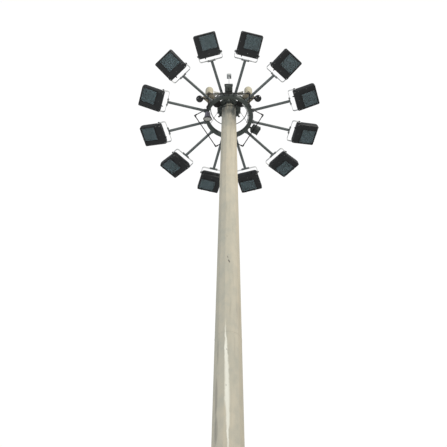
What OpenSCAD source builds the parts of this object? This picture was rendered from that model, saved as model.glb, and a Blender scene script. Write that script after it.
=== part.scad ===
// High mast floodlight tower: a tapered twelve-sided steel mast on a bolted base,
// with a lantern carriage that is winched up and down and carries twelve floodlights.
// Millimetres, +Z up, origin at the centre of the base flange's underside.

/* [Mast] */
// Height of the mast top above the foundation
mast_h = 20000; // [12000:100:30000]
// Width of the mast across its flats at the base
mast_base_w = 560; // [500:5:700]
// Width of the mast across its flats at the top
mast_top_w = 260; // [200:5:320]
// Number of flat sides
mast_sides = 12; // [12]
// Wall of both mast sections
mast_wall = 5; // [4:0.5:10]
// Height at which the upper section's lower end sits
joint_z = 9000; // [7000:100:12000]
// Length of the slip joint
joint_lap = 800; // [500:10:1200]

/* [Base] */
// Thickness of the base flange
flange_t = 35; // [20:1:60]
// Number of anchor bolt holes
anchor_n = 12; // [12]
// Distance of the anchor bolt holes outside the mast's foot
anchor_out = 100; // [60:5:200]
// Width of the flange outside the anchor bolt holes
flange_out = 60; // [40:5:120]
// Diameter of the anchor bolt holes
anchor_hole_d = 36; // [20:1:50]
// Height of the gusset plates
gusset_h = 200; // [100:5:400]
// Thickness of the gusset plates
gusset_t = 14; // [8:1:25]
// Diameter of the cable entries through the flange
entry_d = 110; // [60:5:150]
// Distance of each cable entry from the mast's axis
entry_r = 150; // [100:5:200]

/* [Service door] */
// Width of the door opening
door_w = 260; // [180:5:300]
// Height of the door opening
door_h = 1000; // [600:5:1400]
// Height of the opening's lower end
door_z = 700; // [400:10:1500]
// Thickness of the frame bar around the opening
door_bar = 14; // [10:1:25]
// Distance by which the frame stands out of the mast
door_stand = 12; // [6:1:25]
// Thickness of the door
door_t = 5; // [3:0.5:10]
// Width by which the door laps its frame
door_lap = 12; // [5:1:20]

/* [Head] */
// Diameter of the head plate
head_d = 440; // [360:5:560]
// Thickness of the head plate
head_t = 12; // [8:1:30]
// Height of the head plate above the carriage ring's middle
head_rise = 300; // [250:5:500]
// Diameter of a rope sheave
sheave_d = 130; // [90:5:160]
// Thickness of a rope sheave
sheave_t = 22; // [16:1:40]
// Distance of a sheave's centre from the mast's axis
sheave_r = 195; // [170:5:230]
// Thickness of a cheek plate beside a sheave
cheek_t = 6; // [4:1:12]
// Distance of the guide hoop's bar inside the carriage ring
hoop_in = 35; // [15:1:60]
// Diameter of the guide hoop's bar
hoop_bar_d = 16; // [10:1:25]
// Diameter of a docking buffer
buffer_d = 150; // [80:5:160]
// Height of a docking buffer
buffer_h = 46; // [20:1:80]
// Space between a docking buffer and the guide hoop
buffer_gap = 4; // [2:1:20]
// Drop of a docking latch below the head plate
latch_drop = 95; // [60:5:140]
// Length of the finial rod
finial_h = 1380; // [300:10:2000]
// Diameter of the finial rod
finial_d = 16; // [10:1:40]
// Width of the obstruction lamp
obstruction_w = 90; // [60:1:200]

/* [Carriage] */
// Space between the carriage ring and the foot of the mast
ring_gap = 90; // [60:5:150]
// Width of the ring's channel
ring_w = 60; // [40:1:80]
// Height of the ring's channel
ring_h = 90; // [60:1:140]
// Wall of the ring's channel
ring_wall = 5; // [3:0.5:10]
// Diameter of the hanging ropes
rope_d = 8; // [5:1:14]
// Diameter of an arm tube
arm_d = 50; // [30:1:70]
// Wall of an arm tube
arm_wall = 3; // [2:0.5:6]
// Length of an arm from the ring to the yoke
arm_l = 730; // [500:10:900]
// Length of the cross plate at an arm's end
cross_w = 150; // [80:5:250]
// Thickness of the cross plate
cross_t = 12; // [6:1:25]
// Height of the cross plate
cross_h = 60; // [51:1:100]

/* [Floodlights] */
// Number of floodlights
lamp_n = 12; // [12]
// Width of a floodlight across its arm
lamp_w = 405; // [300:5:450]
// Length of a floodlight along its arm
lamp_l = 420; // [300:5:500]
// Depth of a floodlight from its face to its back
lamp_depth = 160; // [100:5:220]
// Wall of a floodlight's housing
lamp_wall = 5; // [3:0.5:10]
// Tilt of the floodlights' faces from level, outer edge raised
lamp_tilt = 13; // [0:1:45]
// Border between the window and the floodlight's inner end
border_in = 138; // [60:1:160]
// Border between the window and the floodlight's outer end
border_out = 26; // [20:1:60]
// Border at the window's wide side
border_side = 105; // [40:1:130]
// Border at the window's narrow side
border_thin = 24; // [20:1:60]
// Thickness of the window glass
glass_t = 6; // [4:1:12]
// Distance from the yoke's back to the pivot
yoke_l = 125; // [115:5:220]
// Thickness of the yoke's flat bar
yoke_t = 5; // [4:1:10]
// Width of the yoke's flat bar
yoke_bar_w = 45; // [30:1:60]
// Bend radius at the yoke's corners
yoke_bend_r = 34; // [15:1:60]
// Radius of a pivot pin
pivot_r = 8; // [6:0.5:10]

/* [Ring fittings] */
// Diameter of the bar of the carrier frames
frame_bar_d = 18; // [12:1:30]
// Angle from a carrier frame's middle to its ends at the ring
frame_spread = 57; // [40:1:57]
// Distance of a carrier frame's long side outside the ring
frame_gap = 70; // [50:5:150]
// Drop of the carrier frames below the ring's middle
frame_drop = 100; // [70:5:160]
// Width of a junction box
box_w = 140; // [80:5:180]
// Height of a junction box
box_h = 100; // [60:5:160]
// Diameter of a beacon lens
beacon_d = 150; // [100:5:160]
// Height of a beacon lens
beacon_h = 330; // [150:5:350]
// Wall of a beacon lens
beacon_wall = 4; // [3:0.5:8]
// Length of a horn beside a beacon
horn_l = 170; // [100:5:200]
// Diameter of a horn's mouth
horn_d = 100; // [60:5:110]
// Diameter of a camera dome
dome_d = 130; // [100:5:180]
// Distance of a camera dome from the carrier frame's end
dome_out = 155; // [110:5:200]
// Drop of the bell's top below the ring
bell_drop = 45; // [35:1:80]
// Tilt of the bell's axis
bell_tilt = 35; // [0:1:45]
// Diameter of the conduit inside the ring
conduit_d = 36; // [20:1:40]

/* [Hidden] */

// clearances
slip_fit = 0.3;      // between the two mast sections
seat_gap = 0.2;      // between a round bar and the face it rests on
pin_fit = 0.3;       // between a pivot pin and its hole
side_gap = 8;        // between a floodlight and its yoke's legs
glass_lap = 4;       // by which the window glass laps its border
cut = 1;             // by which a cut runs past a face

// mast: both sections share one taper
taper = (mast_base_w + 2 * (mast_wall + slip_fit) - mast_top_w) / mast_h;
slope = atan(taper / 2);
corner = 1 / cos(180 / mast_sides);
function upper_w(z) = mast_top_w + taper * (mast_h - z);
function lower_w(z) = upper_w(z) - 2 * (mast_wall + slip_fit);
lower_top = joint_z + joint_lap;

// base and door
anchor_pcd = mast_base_w + 2 * anchor_out;
flange_d = anchor_pcd + 2 * flange_out;
anchor_step = 360 / anchor_n;
door_out_w = door_w + 2 * door_bar;
door_half = lower_w(door_z + door_h) / 2;      // from the axis to the flats at the door's top
door_in = door_half - sqrt(pow(door_half, 2) - pow(door_out_w / 2, 2)) + 3 * mast_wall;

// head and carriage
head_z = mast_h;
ring_z = head_z - head_rise;
ring_in_r = mast_base_w / 2 * corner + ring_gap;
ring_r = ring_in_r + ring_w;
ring_mid_r = ring_in_r + ring_w / 2;
ring_top = ring_z + ring_h / 2;
ring_foot = ring_z - ring_h / 2;
head_angles = [-90, 30, 150];
buffer_angles = [-30, 90, 210];
sheave_lift = 8;                    // rim of a sheave above the head plate
sheave_z = head_z + head_t + sheave_d / 2 + sheave_lift;
lug_h = 30;
spoke_w = 30;
spoke_t = 8;
hoop_r = ring_in_r - hoop_in;
buffer_r = hoop_r - (hoop_bar_d + buffer_d) / 2 - buffer_gap;
axle_r = 12;
groove = rope_d * 0.7;
rope_top_r = sheave_r + sheave_d / 2 - groove + rope_d / 2 + seat_gap;

finial_foot_t = 14;
obstruction_h = 60;

lead_d = 12;
lead_seat = 3.5;                    // from the hoop's underside to the end of the lead
lead_route = [[-168, 79, -60], [-182, 52, -68], [-190, 0, -110], [-160, -85, -170], [-95, -160, -225],
              [0, -190, -250], [100, -185, -245], [190, -155, -205], [265, -112, -130],
              [325, -74, -60],
              [hoop_r * cos(10), -hoop_r * sin(10), -(spoke_t + hoop_bar_d) / 2 - lead_seat]];

// floodlights
lamp_step = 360 / lamp_n;
lamp_start = lamp_step / 2 - 90;
arm_reach = ring_r + arm_l;
pivot_at = arm_reach + yoke_l;
yoke_tail = 26;                     // of a yoke's legs beyond the pivot
lamp_in = -40;                      // inner end of a housing, from its pivot
lamp_low = -lamp_depth / 2;         // face of a housing, from its pivot
yoke_half = lamp_w / 2 + side_gap;
window_x = [lamp_in + border_in, lamp_in + lamp_l - border_out];
window_y = [-lamp_w / 2 + border_side, lamp_w / 2 - border_thin];

// fittings
frame_z = ring_z - frame_drop;
frame_r = ring_r + frame_gap;
frame_seat = ring_r + frame_bar_d / 2 + seat_gap;
frame_half = frame_seat * sin(frame_spread);
frame_foot = frame_seat * cos(frame_spread);
frame_top = 10;                     // of a frame's upturned ends above the ring's middle
box_angles = [-90, 30];
box_out = 50;                       // space between a junction box and the ring
box_r = ring_r + box_out + box_w / 2;
beacon_at = ring_r + 70;            // along the arms that carry them
beacon_angles = [-45, -135];
beacon_foot = 36;
beacon_plate_t = 8;
beacon_plate = beacon_d + 40;
beacon_z = ring_top;
horn_gap = 16;                      // between a horn's mouth and the lens beside it
horn_at = [beacon_at * cos(45) - beacon_d / 2 - horn_gap, -beacon_at * sin(45) - 50];
horn_lift = 62;
dome_x = frame_half + dome_out;
dome_y = -frame_r + 100;
dome_flat = 0.45;                   // height of a dome's top as a share of its radius
bell_at = 197;                      // direction of the bell from the axis
bell_r = 72;
bell_l = 118;
bell_rim = 16;
bell_face_t = 12;
bell_stem_r = 12;
conduit_from = -45;
conduit_sweep = 67;

$fn = 48;

module around(angles) {
    for (a = angles) rotate([0, 0, a]) children();
}

module tapered_tube(z0, z1, w0, w1, wall) {
    translate([0, 0, z0]) rotate([0, 0, 180 / mast_sides])
        difference() {
            cylinder(h = z1 - z0, r1 = w0 / 2 * corner, r2 = w1 / 2 * corner, $fn = mast_sides);
            translate([0, 0, -(z1 - z0) * 0.01])
                cylinder(h = (z1 - z0) * 1.02,
                         r1 = (w0 / 2 - wall + (w0 - w1) * 0.005) * corner,
                         r2 = (w1 / 2 - wall - (w0 - w1) * 0.005) * corner, $fn = mast_sides);
        }
}

// a slot shape with round ends, standing along Y
module slot_shape(w, h) {
    translate([-w / 2, w / 2]) square([w, h - w]);
    translate([0, w / 2]) circle(d = w);
    translate([0, h - w / 2]) circle(d = w);
}

// places its children on the lower section's front flat, +Z outwards and +Y up it
module on_front_flat(z) {
    translate([0, -lower_w(z) / 2, z]) rotate([90 - slope, 0, 0]) children();
}

module base_flange() {
    color("darkgray")
        difference() {
            cylinder(h = flange_t, d = flange_d, $fn = 96);
            around([for (i = [0 : anchor_n - 1]) (i + 0.5) * anchor_step])
                translate([anchor_pcd / 2, 0, -cut])
                    cylinder(h = flange_t + 2 * cut, d = anchor_hole_d);
            around([0, 180])
                translate([entry_r, 0, -cut]) cylinder(h = flange_t + 2 * cut, d = entry_d);
        }
}

module base_gussets() {
    foot_r = flange_d / 2 - 15;
    toe = 25;
    tip = 20;
    top_z = flange_t + gusset_h;
    color("darkgray")
        around([for (i = [0 : anchor_n - 1]) i * anchor_step])
            rotate([90, 0, 0])
                linear_extrude(height = gusset_t, center = true)
                    polygon([[lower_w(flange_t) / 2, flange_t], [foot_r, flange_t],
                             [foot_r, flange_t + toe], [lower_w(top_z) / 2 + tip, top_z],
                             [lower_w(top_z) / 2, top_z]]);
}

module mast_lower() {
    color("tan")
        difference() {
            tapered_tube(flange_t, lower_top, lower_w(flange_t), lower_w(lower_top), mast_wall);
            on_front_flat(door_z)
                translate([0, -door_bar - seat_gap, -door_half])
                    linear_extrude(height = door_half + door_stand)
                        slot_shape(door_out_w + 2 * seat_gap, door_h + 2 * (door_bar + seat_gap));
        }
}

module mast_upper() {
    color("tan")
        tapered_tube(joint_z, mast_h, upper_w(joint_z), mast_top_w, mast_wall);
}

module door_frame() {
    color("gray")
        on_front_flat(door_z)
            translate([0, 0, -door_in])
                linear_extrude(height = door_in + door_stand)
                    difference() {
                        translate([0, -door_bar]) slot_shape(door_out_w, door_h + 2 * door_bar);
                        slot_shape(door_w, door_h);
                    }
}

module door_leaf() {
    color("lightgray")
        on_front_flat(door_z)
            translate([0, -door_lap, door_stand])
                linear_extrude(height = door_t)
                    slot_shape(door_w + 2 * door_lap, door_h + 2 * door_lap);
}

module head_plate() {
    color("dimgray")
        translate([0, 0, head_z]) cylinder(h = head_t, d = head_d, $fn = 72);
}

module sheave_cheeks() {
    foot = [head_d / 2 - 110, head_d / 2];
    top = sheave_z + 30;
    brow = 35;
    color("dimgray")
        around(head_angles)
            for (side = [-1, 1])
                translate([0, side * (sheave_t / 2 + 1 + cheek_t / 2), 0])
                    rotate([90, 0, 0])
                        linear_extrude(height = cheek_t, center = true)
                            difference() {
                                polygon([[foot[0], head_z + head_t], [foot[1], head_z + head_t],
                                         [sheave_r + brow + 15, sheave_z - 15],
                                         [sheave_r + brow, top], [sheave_r - brow, top]]);
                                translate([sheave_r, sheave_z]) circle(r = axle_r + pin_fit);
                            }
}

module rope_sheaves() {
    half = sheave_t / 2;
    r = sheave_d / 2;
    lip = 4;
    color("slategray")
        around(head_angles)
            translate([sheave_r, 0, sheave_z]) rotate([90, 0, 0])
                union() {
                    rotate_extrude()
                        polygon([[0, -half], [r, -half], [r, -half + lip], [r - groove, -rope_d / 3],
                                 [r - groove, rope_d / 3], [r, half - lip], [r, half], [0, half]]);
                    cylinder(h = sheave_t + 2 * cheek_t + 20, r = axle_r, center = true);
                }
}

module docking_latches() {
    back = head_d / 2 - 10;
    foot = head_z - latch_drop;
    latch_w = 30;
    color("dimgray")
        around(head_angles)
            rotate([90, 0, 0])
                linear_extrude(height = latch_w, center = true)
                    polygon([[back - 60, head_z], [back, head_z], [back, foot], [back + 26, foot],
                             [back + 14, foot - 22], [back - 20, foot - 8], [back - 24, head_z - 40]]);
}

module guide_hoop() {
    inner = head_d / 2 - 50;
    color("dimgray")
        translate([0, 0, head_z - spoke_t])
            union() {
                translate([0, 0, spoke_t / 2])
                    rotate_extrude($fn = 72) translate([hoop_r, 0]) circle(d = hoop_bar_d, $fn = 16);
                around(buffer_angles)
                    translate([inner, -spoke_w / 2, 0]) cube([hoop_r - inner, spoke_w, spoke_t]);
            }
}

module docking_buffers() {
    top = head_z - spoke_t;
    nose = 10;
    color("black")
        around(buffer_angles)
            translate([buffer_r, 0, top - buffer_h])
                union() {
                    cylinder(h = buffer_h, d = buffer_d);
                    translate([0, 0, -nose])
                        cylinder(h = nose + cut, d1 = buffer_d * 0.6, d2 = buffer_d * 0.9);
                }
}

// a lead that hangs across the front of the mast's top, from a latch to the hoop
module head_lead() {
    color("black") translate([0, 0, head_z]) swept_tube(smooth(lead_route, 3), lead_d, 8);
}

// a route with n steps between each two of its points, on a curve through all of them
function smooth(p, n) = [
    for (i = [0 : len(p) - 2])
        for (k = [0 : i == len(p) - 2 ? n : n - 1])
            let (a = p[max(i - 1, 0)], b = p[i], c = p[i + 1], d = p[min(i + 2, len(p) - 1)], t = k / n)
                0.5 * (2 * b + (c - a) * t + (2 * a - 5 * b + 4 * c - d) * t * t
                       + (3 * b - a - 3 * c + d) * t * t * t)
];

function unit(v) = v / norm(v);

// a round tube along a route, with flat ends
module swept_tube(route, d, sides) {
    last = len(route) - 1;
    rings = [
        for (i = [0 : last])
            let (along = unit(route[min(i + 1, last)] - route[max(i - 1, 0)]),
                 across = unit(cross(along, [0.1, 0.1, 1])),
                 up = cross(across, along))
                for (k = [0 : sides - 1])
                    route[i] + d / 2 * (cos(360 * k / sides) * across + sin(360 * k / sides) * up)
    ];
    walls = [
        for (i = [0 : last - 1])
            for (k = [0 : sides - 1])
                let (m = (k + 1) % sides, a = i * sides)
                    each [[a + k, a + m, a + sides + k], [a + m, a + sides + m, a + sides + k]]
    ];
    polyhedron(points = rings,
               faces = concat([[for (k = [sides - 1 : -1 : 0]) k]], walls,
                              [[for (k = [0 : sides - 1]) last * sides + k]]));
}

// a straight round bar from one point to another
module tube_between(a, b, d) {
    v = b - a;
    length = norm(v);
    translate(a)
        rotate([0, acos(v[2] / length), atan2(v[1], v[0])])
            union() {
                cylinder(h = length, d = d, $fn = 16);
                sphere(d = d, $fn = 16);
            }
}

module finial_rod() {
    color("silver")
        translate([0, 0, head_z + head_t])
            union() {
                cylinder(h = finial_foot_t, d = obstruction_w);
                cylinder(h = finial_h, d = finial_d, $fn = 24);
            }
}

module obstruction_lamp() {
    color("lightgray")
        translate([0, 0, head_z + head_t + finial_h])
            union() {
                translate([-obstruction_w / 2, -obstruction_w / 2, 0])
                    cube([obstruction_w, obstruction_w, obstruction_h]);
                cylinder(h = obstruction_h + 50, d = obstruction_w * 0.7);
            }
}

module carriage_ring() {
    color("darkslategray")
        rotate_extrude($fn = 96)
            polygon([[ring_in_r, ring_foot], [ring_r, ring_foot], [ring_r, ring_top],
                     [ring_r - ring_wall, ring_top], [ring_r - ring_wall, ring_foot + ring_wall],
                     [ring_in_r + ring_wall, ring_foot + ring_wall],
                     [ring_in_r + ring_wall, ring_top], [ring_in_r, ring_top]]);
}

module rope_lugs() {
    lug = [40, 16, ring_h - ring_wall + lug_h];
    color("silver")
        around(head_angles)
            translate([ring_mid_r - lug[0] / 2, -lug[1] / 2, ring_foot + ring_wall]) cube(lug);
}

module hanging_ropes() {
    foot_z = ring_top + lug_h;
    color("silver")
        around(head_angles)
            tube_between([ring_mid_r, 0, foot_z + rope_d / 2], [rope_top_r, 0, sheave_z], rope_d);
}

// one arm: a tube from the ring's outer wall, with a collar and a cross plate
module arm() {
    tube_l = arm_reach - cross_t;
    collar_at = ring_r + 6;
    collar_l = 34;
    difference() {
        union() {
            rotate([0, 90, 0]) cylinder(h = tube_l, d = arm_d, $fn = 32);
            translate([collar_at, 0, 0]) rotate([0, 90, 0])
                cylinder(h = collar_l, d = arm_d + 18, $fn = 32);
            translate([tube_l, -cross_w / 2, -cross_h / 2]) cube([cross_t, cross_w, cross_h]);
        }
        rotate([0, 90, 0]) cylinder(h = tube_l, d = arm_d - 2 * arm_wall, $fn = 32);
        cylinder(h = 2 * ring_h, r = ring_r, center = true, $fn = 96);
    }
}

module arms() {
    color("darkslategray")
        around([for (i = [0 : lamp_n - 1]) lamp_start + i * lamp_step])
            translate([0, 0, ring_z]) arm();
}

// one floodlight's place: origin on its pivot, +X outwards
module lamp_place(i) {
    rotate([0, 0, lamp_start + (i - 1) * lamp_step])
        translate([pivot_at, 0, ring_z]) children();
}

module yoke_outline() {
    back = -yoke_l;
    outer = yoke_half + yoke_t;
    in_r = yoke_bend_r - yoke_t;
    translate([back, -outer + yoke_bend_r]) square([yoke_t, 2 * (outer - yoke_bend_r)]);
    for (side = [-1, 1]) {
        intersection() {
            translate([back + yoke_bend_r, side * (outer - yoke_bend_r)])
                difference() {
                    circle(r = yoke_bend_r);
                    circle(r = in_r);
                }
            translate([back, side > 0 ? outer - yoke_bend_r : -outer])
                square([yoke_bend_r, yoke_bend_r]);
        }
        translate([back + yoke_bend_r, side > 0 ? yoke_half : -outer])
            square([yoke_l - yoke_bend_r + yoke_tail, yoke_t]);
    }
}

module yokes() {
    color("silver")
        for (i = [1 : lamp_n])
            lamp_place(i)
                difference() {
                    translate([0, 0, -yoke_bar_w / 2])
                        linear_extrude(height = yoke_bar_w) yoke_outline();
                    rotate([90, 0, 0])
                        cylinder(h = 3 * yoke_half, r = pivot_r + pin_fit, center = true, $fn = 32);
                }
}

// a floodlight body's outer form, drawn in by inset
module lamp_form(inset) {
    edge = 22;
    bulge = 60;
    skirt = 70;
    hull() {
        for (x = [lamp_in + edge, lamp_in + lamp_l - edge])
            for (y = [-lamp_w / 2 + edge, lamp_w / 2 - edge])
                translate([x, y, lamp_low + inset]) cylinder(h = skirt, r = edge - inset, $fn = 20);
        for (x = [lamp_in + bulge, lamp_in + lamp_l - bulge])
            for (y = [-lamp_w / 2 + bulge, lamp_w / 2 - bulge])
                translate([x, y, 0]) cylinder(h = lamp_low + lamp_depth - inset, r = edge, $fn = 20);
    }
}

module lamp_housing(i) {
    boss_r = 20.5;
    boss_l = side_gap - 1;
    knob_r = 17;
    knob_l = 14;
    face = lamp_w / 2 - cut;
    leg_out = yoke_half + yoke_t + 1;
    color("black")
        lamp_place(i)
            rotate([0, -lamp_tilt, 0])
                union() {
                    difference() {
                        lamp_form(0);
                        lamp_form(lamp_wall);
                        translate([window_x[0], window_y[0], lamp_low - cut])
                            cube([window_x[1] - window_x[0], window_y[1] - window_y[0], 2 * lamp_wall]);
                    }
                    for (side = [-1, 1])
                        rotate([-side * 90, 0, 0]) {
                            translate([0, 0, face]) cylinder(h = boss_l + cut, r = boss_r, $fn = 32);
                            translate([0, 0, face]) cylinder(h = leg_out - face, r = pivot_r, $fn = 32);
                            translate([0, 0, leg_out]) cylinder(h = knob_l, r = knob_r, $fn = 6);
                        }
                }
}

module lamp_glass(i) {
    color("slategray")
        lamp_place(i)
            rotate([0, -lamp_tilt, 0])
                translate([window_x[0] - glass_lap, window_y[0] - glass_lap, lamp_low + lamp_wall])
                    cube([window_x[1] - window_x[0] + 2 * glass_lap,
                          window_y[1] - window_y[0] + 2 * glass_lap, glass_t]);
}

// a rectangular frame of bent bar below the ring, its ends turned up against the ring
module carrier_frame() {
    r = frame_bar_d / 2;
    rise = frame_drop + frame_top;
    union() {
        translate([frame_r, -frame_half, frame_z]) rotate([-90, 0, 0])
            cylinder(h = 2 * frame_half, r = r, $fn = 24);
        for (side = [-1, 1])
            translate([0, side * frame_half, frame_z]) {
                translate([frame_r, 0, 0]) sphere(r = r * 1.5, $fn = 24);
                translate([frame_foot, 0, 0]) rotate([0, 90, 0])
                    cylinder(h = frame_r - frame_foot, r = r, $fn = 24);
                translate([frame_foot, 0, 0]) sphere(r = r, $fn = 24);
                translate([frame_foot, 0, 0]) cylinder(h = rise, r = r, $fn = 24);
            }
    }
}

module carrier_frames() {
    color("black") around(head_angles) carrier_frame();
}

module junction_boxes() {
    z = ring_z - box_h / 2;
    strap = [box_out + cut, 40, 6];
    lid = [9, box_w + 16, box_h + 8];
    color("dimgray")
        around(box_angles)
            union() {
                difference() {
                    translate([ring_r - cut, -strap[1] / 2, ring_z - box_h / 4])
                        cube(strap + [cut, 0, 0]);
                    translate([0, 0, z]) cylinder(h = 2 * box_h, r = ring_r, $fn = 96);
                }
                translate([box_r - box_w / 2, -box_w / 2, z]) cube([box_w, box_w, box_h]);
                translate([box_r + box_w / 2 - cut, -lid[1] / 2, ring_z - lid[2] / 2]) cube(lid);
            }
}

module beacon_bases() {
    saddle = (ring_h - arm_d) / 2 - seat_gap;
    saddle_w = 40;
    color("beige")
        around(beacon_angles)
            translate([beacon_at, 0, beacon_z])
                union() {
                    translate([-beacon_plate / 2, -beacon_plate / 2, 0])
                        cube([beacon_plate, beacon_plate, beacon_plate_t]);
                    translate([0, -saddle_w / 2, -saddle])
                        cube([beacon_plate / 2, saddle_w, saddle]);
                    cylinder(h = beacon_foot, d = beacon_d);
                }
}

// a round-topped column
module round_top(d, h) {
    cylinder(h = h - d / 2, d = d);
    intersection() {
        translate([0, 0, h - d / 2]) sphere(d = d);
        translate([-d, -d, h - d / 2]) cube(2 * d);
    }
}

module beacon_lenses() {
    color("wheat")
        around(beacon_angles)
            translate([beacon_at, 0, beacon_z + beacon_foot])
                difference() {
                    round_top(beacon_d, beacon_h);
                    translate([0, 0, -beacon_wall])
                        round_top(beacon_d - 2 * beacon_wall, beacon_h);
                }
}

// a horn beside each beacon, pointing at the plane through the mast's front
module beacon_horns() {
    strap = [horn_l / 3 + 45, 20, 6];
    color("gainsboro")
        for (side = [-1, 1])
            translate([side * horn_at[0], horn_at[1], beacon_z + beacon_plate_t])
                rotate([0, 0, side > 0 ? 180 : 0])
                    union() {
                        translate([0, 0, horn_lift]) rotate([0, 90, 0])
                            cylinder(h = horn_l, d1 = horn_d, d2 = horn_d / 4);
                        translate([horn_l / 3, -strap[1] / 2, 0]) cube([strap[1], strap[1], horn_lift]);
                        translate([-25, -strap[1] / 2, 0]) cube(strap);
                    }
}

module camera_domes() {
    r = dome_d / 2;
    top = r * dome_flat;
    color("black")
        for (side = [-1, 1])
            translate([side * dome_x, dome_y, frame_z])
                union() {
                    difference() {
                        sphere(r = r);
                        translate([-r, -r, top]) cube([2 * r, 2 * r, r]);
                    }
                    cylinder(h = top + 25, r = r * 0.6);
                    rotate([0, -side * 90, 0])
                        cylinder(h = dome_out - frame_bar_d / 2 - seat_gap, r = 11, $fn = 24);
                }
}

module bell_place() {
    translate([ring_mid_r * cos(bell_at), ring_mid_r * sin(bell_at), ring_foot - bell_drop]) children();
}

module bell_housing() {
    color("slategray")
        bell_place()
            union() {
                translate([0, 0, -20]) cylinder(h = bell_drop + 20, r = bell_stem_r);
                rotate([bell_tilt, 0, 0])
                    rotate_extrude()
                        polygon([[0, 14], [34, 14], [46, 0], [52, -50], [bell_r + 6, -bell_l],
                                 [bell_r + 10, -bell_l], [bell_r + 10, -bell_l - bell_rim],
                                 [bell_r, -bell_l - bell_rim], [bell_r, -bell_l], [0, -bell_l]]);
            }
}

module bell_face() {
    color("white")
        bell_place()
            rotate([bell_tilt, 0, 0])
                translate([0, 0, -bell_l - bell_face_t]) cylinder(h = bell_face_t, r = bell_r - seat_gap);
}

module ring_conduit() {
    r = ring_in_r - conduit_d / 2 - seat_gap;
    color("silver")
        translate([0, 0, ring_z - 10]) rotate([0, 0, conduit_from])
            rotate_extrude(angle = conduit_sweep, $fn = 96)
                translate([r, 0]) circle(d = conduit_d, $fn = 24);
}

base_flange();
base_gussets();
mast_lower();
mast_upper();
door_frame();
door_leaf();
head_plate();
sheave_cheeks();
rope_sheaves();
docking_latches();
guide_hoop();
docking_buffers();
head_lead();
finial_rod();
obstruction_lamp();
carriage_ring();
rope_lugs();
arms();
yokes();
carrier_frames();
junction_boxes();
beacon_bases();
beacon_lenses();
beacon_horns();
camera_domes();
bell_housing();
bell_face();
ring_conduit();
hanging_ropes();
for (i = [1 : lamp_n]) {
    lamp_housing(i);
    lamp_glass(i);
}
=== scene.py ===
"""Looks of a high mast floodlight tower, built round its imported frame.

Every length is in metres, with +Z up the mast and -Y the side with the service door.
"""

import logging
import math
from collections.abc import Iterable
from dataclasses import dataclass, field
from enum import Enum
from functools import cache

import bpy
import numpy as np
from mathutils import Matrix


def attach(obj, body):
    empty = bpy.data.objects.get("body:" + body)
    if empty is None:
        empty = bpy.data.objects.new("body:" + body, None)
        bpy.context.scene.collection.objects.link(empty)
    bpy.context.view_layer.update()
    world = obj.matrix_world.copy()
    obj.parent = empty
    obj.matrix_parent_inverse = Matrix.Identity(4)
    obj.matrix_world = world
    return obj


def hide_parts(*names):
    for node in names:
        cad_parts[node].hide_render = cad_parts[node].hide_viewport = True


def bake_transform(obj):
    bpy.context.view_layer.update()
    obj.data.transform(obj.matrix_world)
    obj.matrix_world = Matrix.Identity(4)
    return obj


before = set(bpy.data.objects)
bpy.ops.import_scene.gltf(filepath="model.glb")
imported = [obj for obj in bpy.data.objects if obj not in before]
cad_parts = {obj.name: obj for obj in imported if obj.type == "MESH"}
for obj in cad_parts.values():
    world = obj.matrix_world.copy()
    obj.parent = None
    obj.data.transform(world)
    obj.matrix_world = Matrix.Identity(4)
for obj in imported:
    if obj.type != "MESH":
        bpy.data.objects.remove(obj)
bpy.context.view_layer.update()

log = logging.getLogger("tower")
Array = np.ndarray
Colour = tuple[float, float, float]
Tree = bpy.types.NodeTree
Socket = bpy.types.NodeSocket
QUARTERS = (45.0, 135.0, 225.0, 315.0)


class Slot(str, Enum):
    """The record's material slots."""

    MAST = "mast_steel"
    FLANGE = "flange_steel"
    DARK = "dark_steel"
    ZINC = "galvanised"
    ROPE = "rope_steel"
    LAMP = "lamp_black"
    GLASS = "lamp_glass"
    BEACON = "beacon_metal"
    LENS = "beacon_lens"
    BOX = "box_grey"
    BLACK = "black_plastic"
    RUBBER = "black_rubber"
    BELL = "bell_grey"
    WHITE = "white_plastic"
    HORN = "horn_grey"
    FITTING = "lamp_grey"


class Edge(Enum):
    """How sharp a piece's creases stay, as the angle in degrees above which an edge is sharp."""

    SOFT = 60.0
    NORMAL = 32.0
    CRISP = 18.0


# ---------------------------------------------------------------- places


def move(x: float, y: float, z: float) -> Array:
    """Returns the 4x4 matrix of a shift."""
    place = np.eye(4)
    place[:3, 3] = x, y, z
    return place


def turn(axis: str, degrees: float) -> Array:
    """Returns the 4x4 matrix of a turn about one axis, right-handed.

    Args:
        axis: "X", "Y" or "Z".
        degrees: the angle.
    """
    return np.array(Matrix.Rotation(math.radians(degrees), 4, axis))


def ring_places(angles: Iterable[float], radius: float = 0.0, z: float = 0.0) -> Array:
    """Places round the mast's axis, each with its X axis outwards.

    Args:
        angles: directions in degrees from +X.
        radius: distance from the axis.
        z: height.

    Returns:
        An (n, 4, 4) array of matrices.
    """
    return np.stack([turn("Z", a) @ move(radius, 0, z) for a in angles])


def corners(x: float, y: float, z: float) -> Array:
    """Returns the four places at plus and minus x and y."""
    return np.stack([move(a, b, z) for a in (-x, x) for b in (-y, y)])


# ---------------------------------------------------------------- outlines and shapes


def rounded_rectangle(x: tuple[float, float], y: tuple[float, float], r: float, n: int = 5) -> Array:
    """Outline of a rectangle whose corners are quarter circles of radius r.

    Args:
        x: lowest and highest x.
        y: lowest and highest y.
        r: corner radius.
        n: points in each corner.

    Returns:
        A (4n, 2) array, anticlockwise.
    """
    centres = np.array([[x[1] - r, y[1] - r], [x[0] + r, y[1] - r], [x[0] + r, y[0] + r], [x[1] - r, y[0] + r]])
    angle = np.radians(np.arange(4)[:, None] * 90 + np.linspace(0, 90, n)[None, :])
    arcs = r * np.stack([np.cos(angle), np.sin(angle)], -1)
    return (centres[:, None, :] + arcs).reshape(-1, 2)


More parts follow.
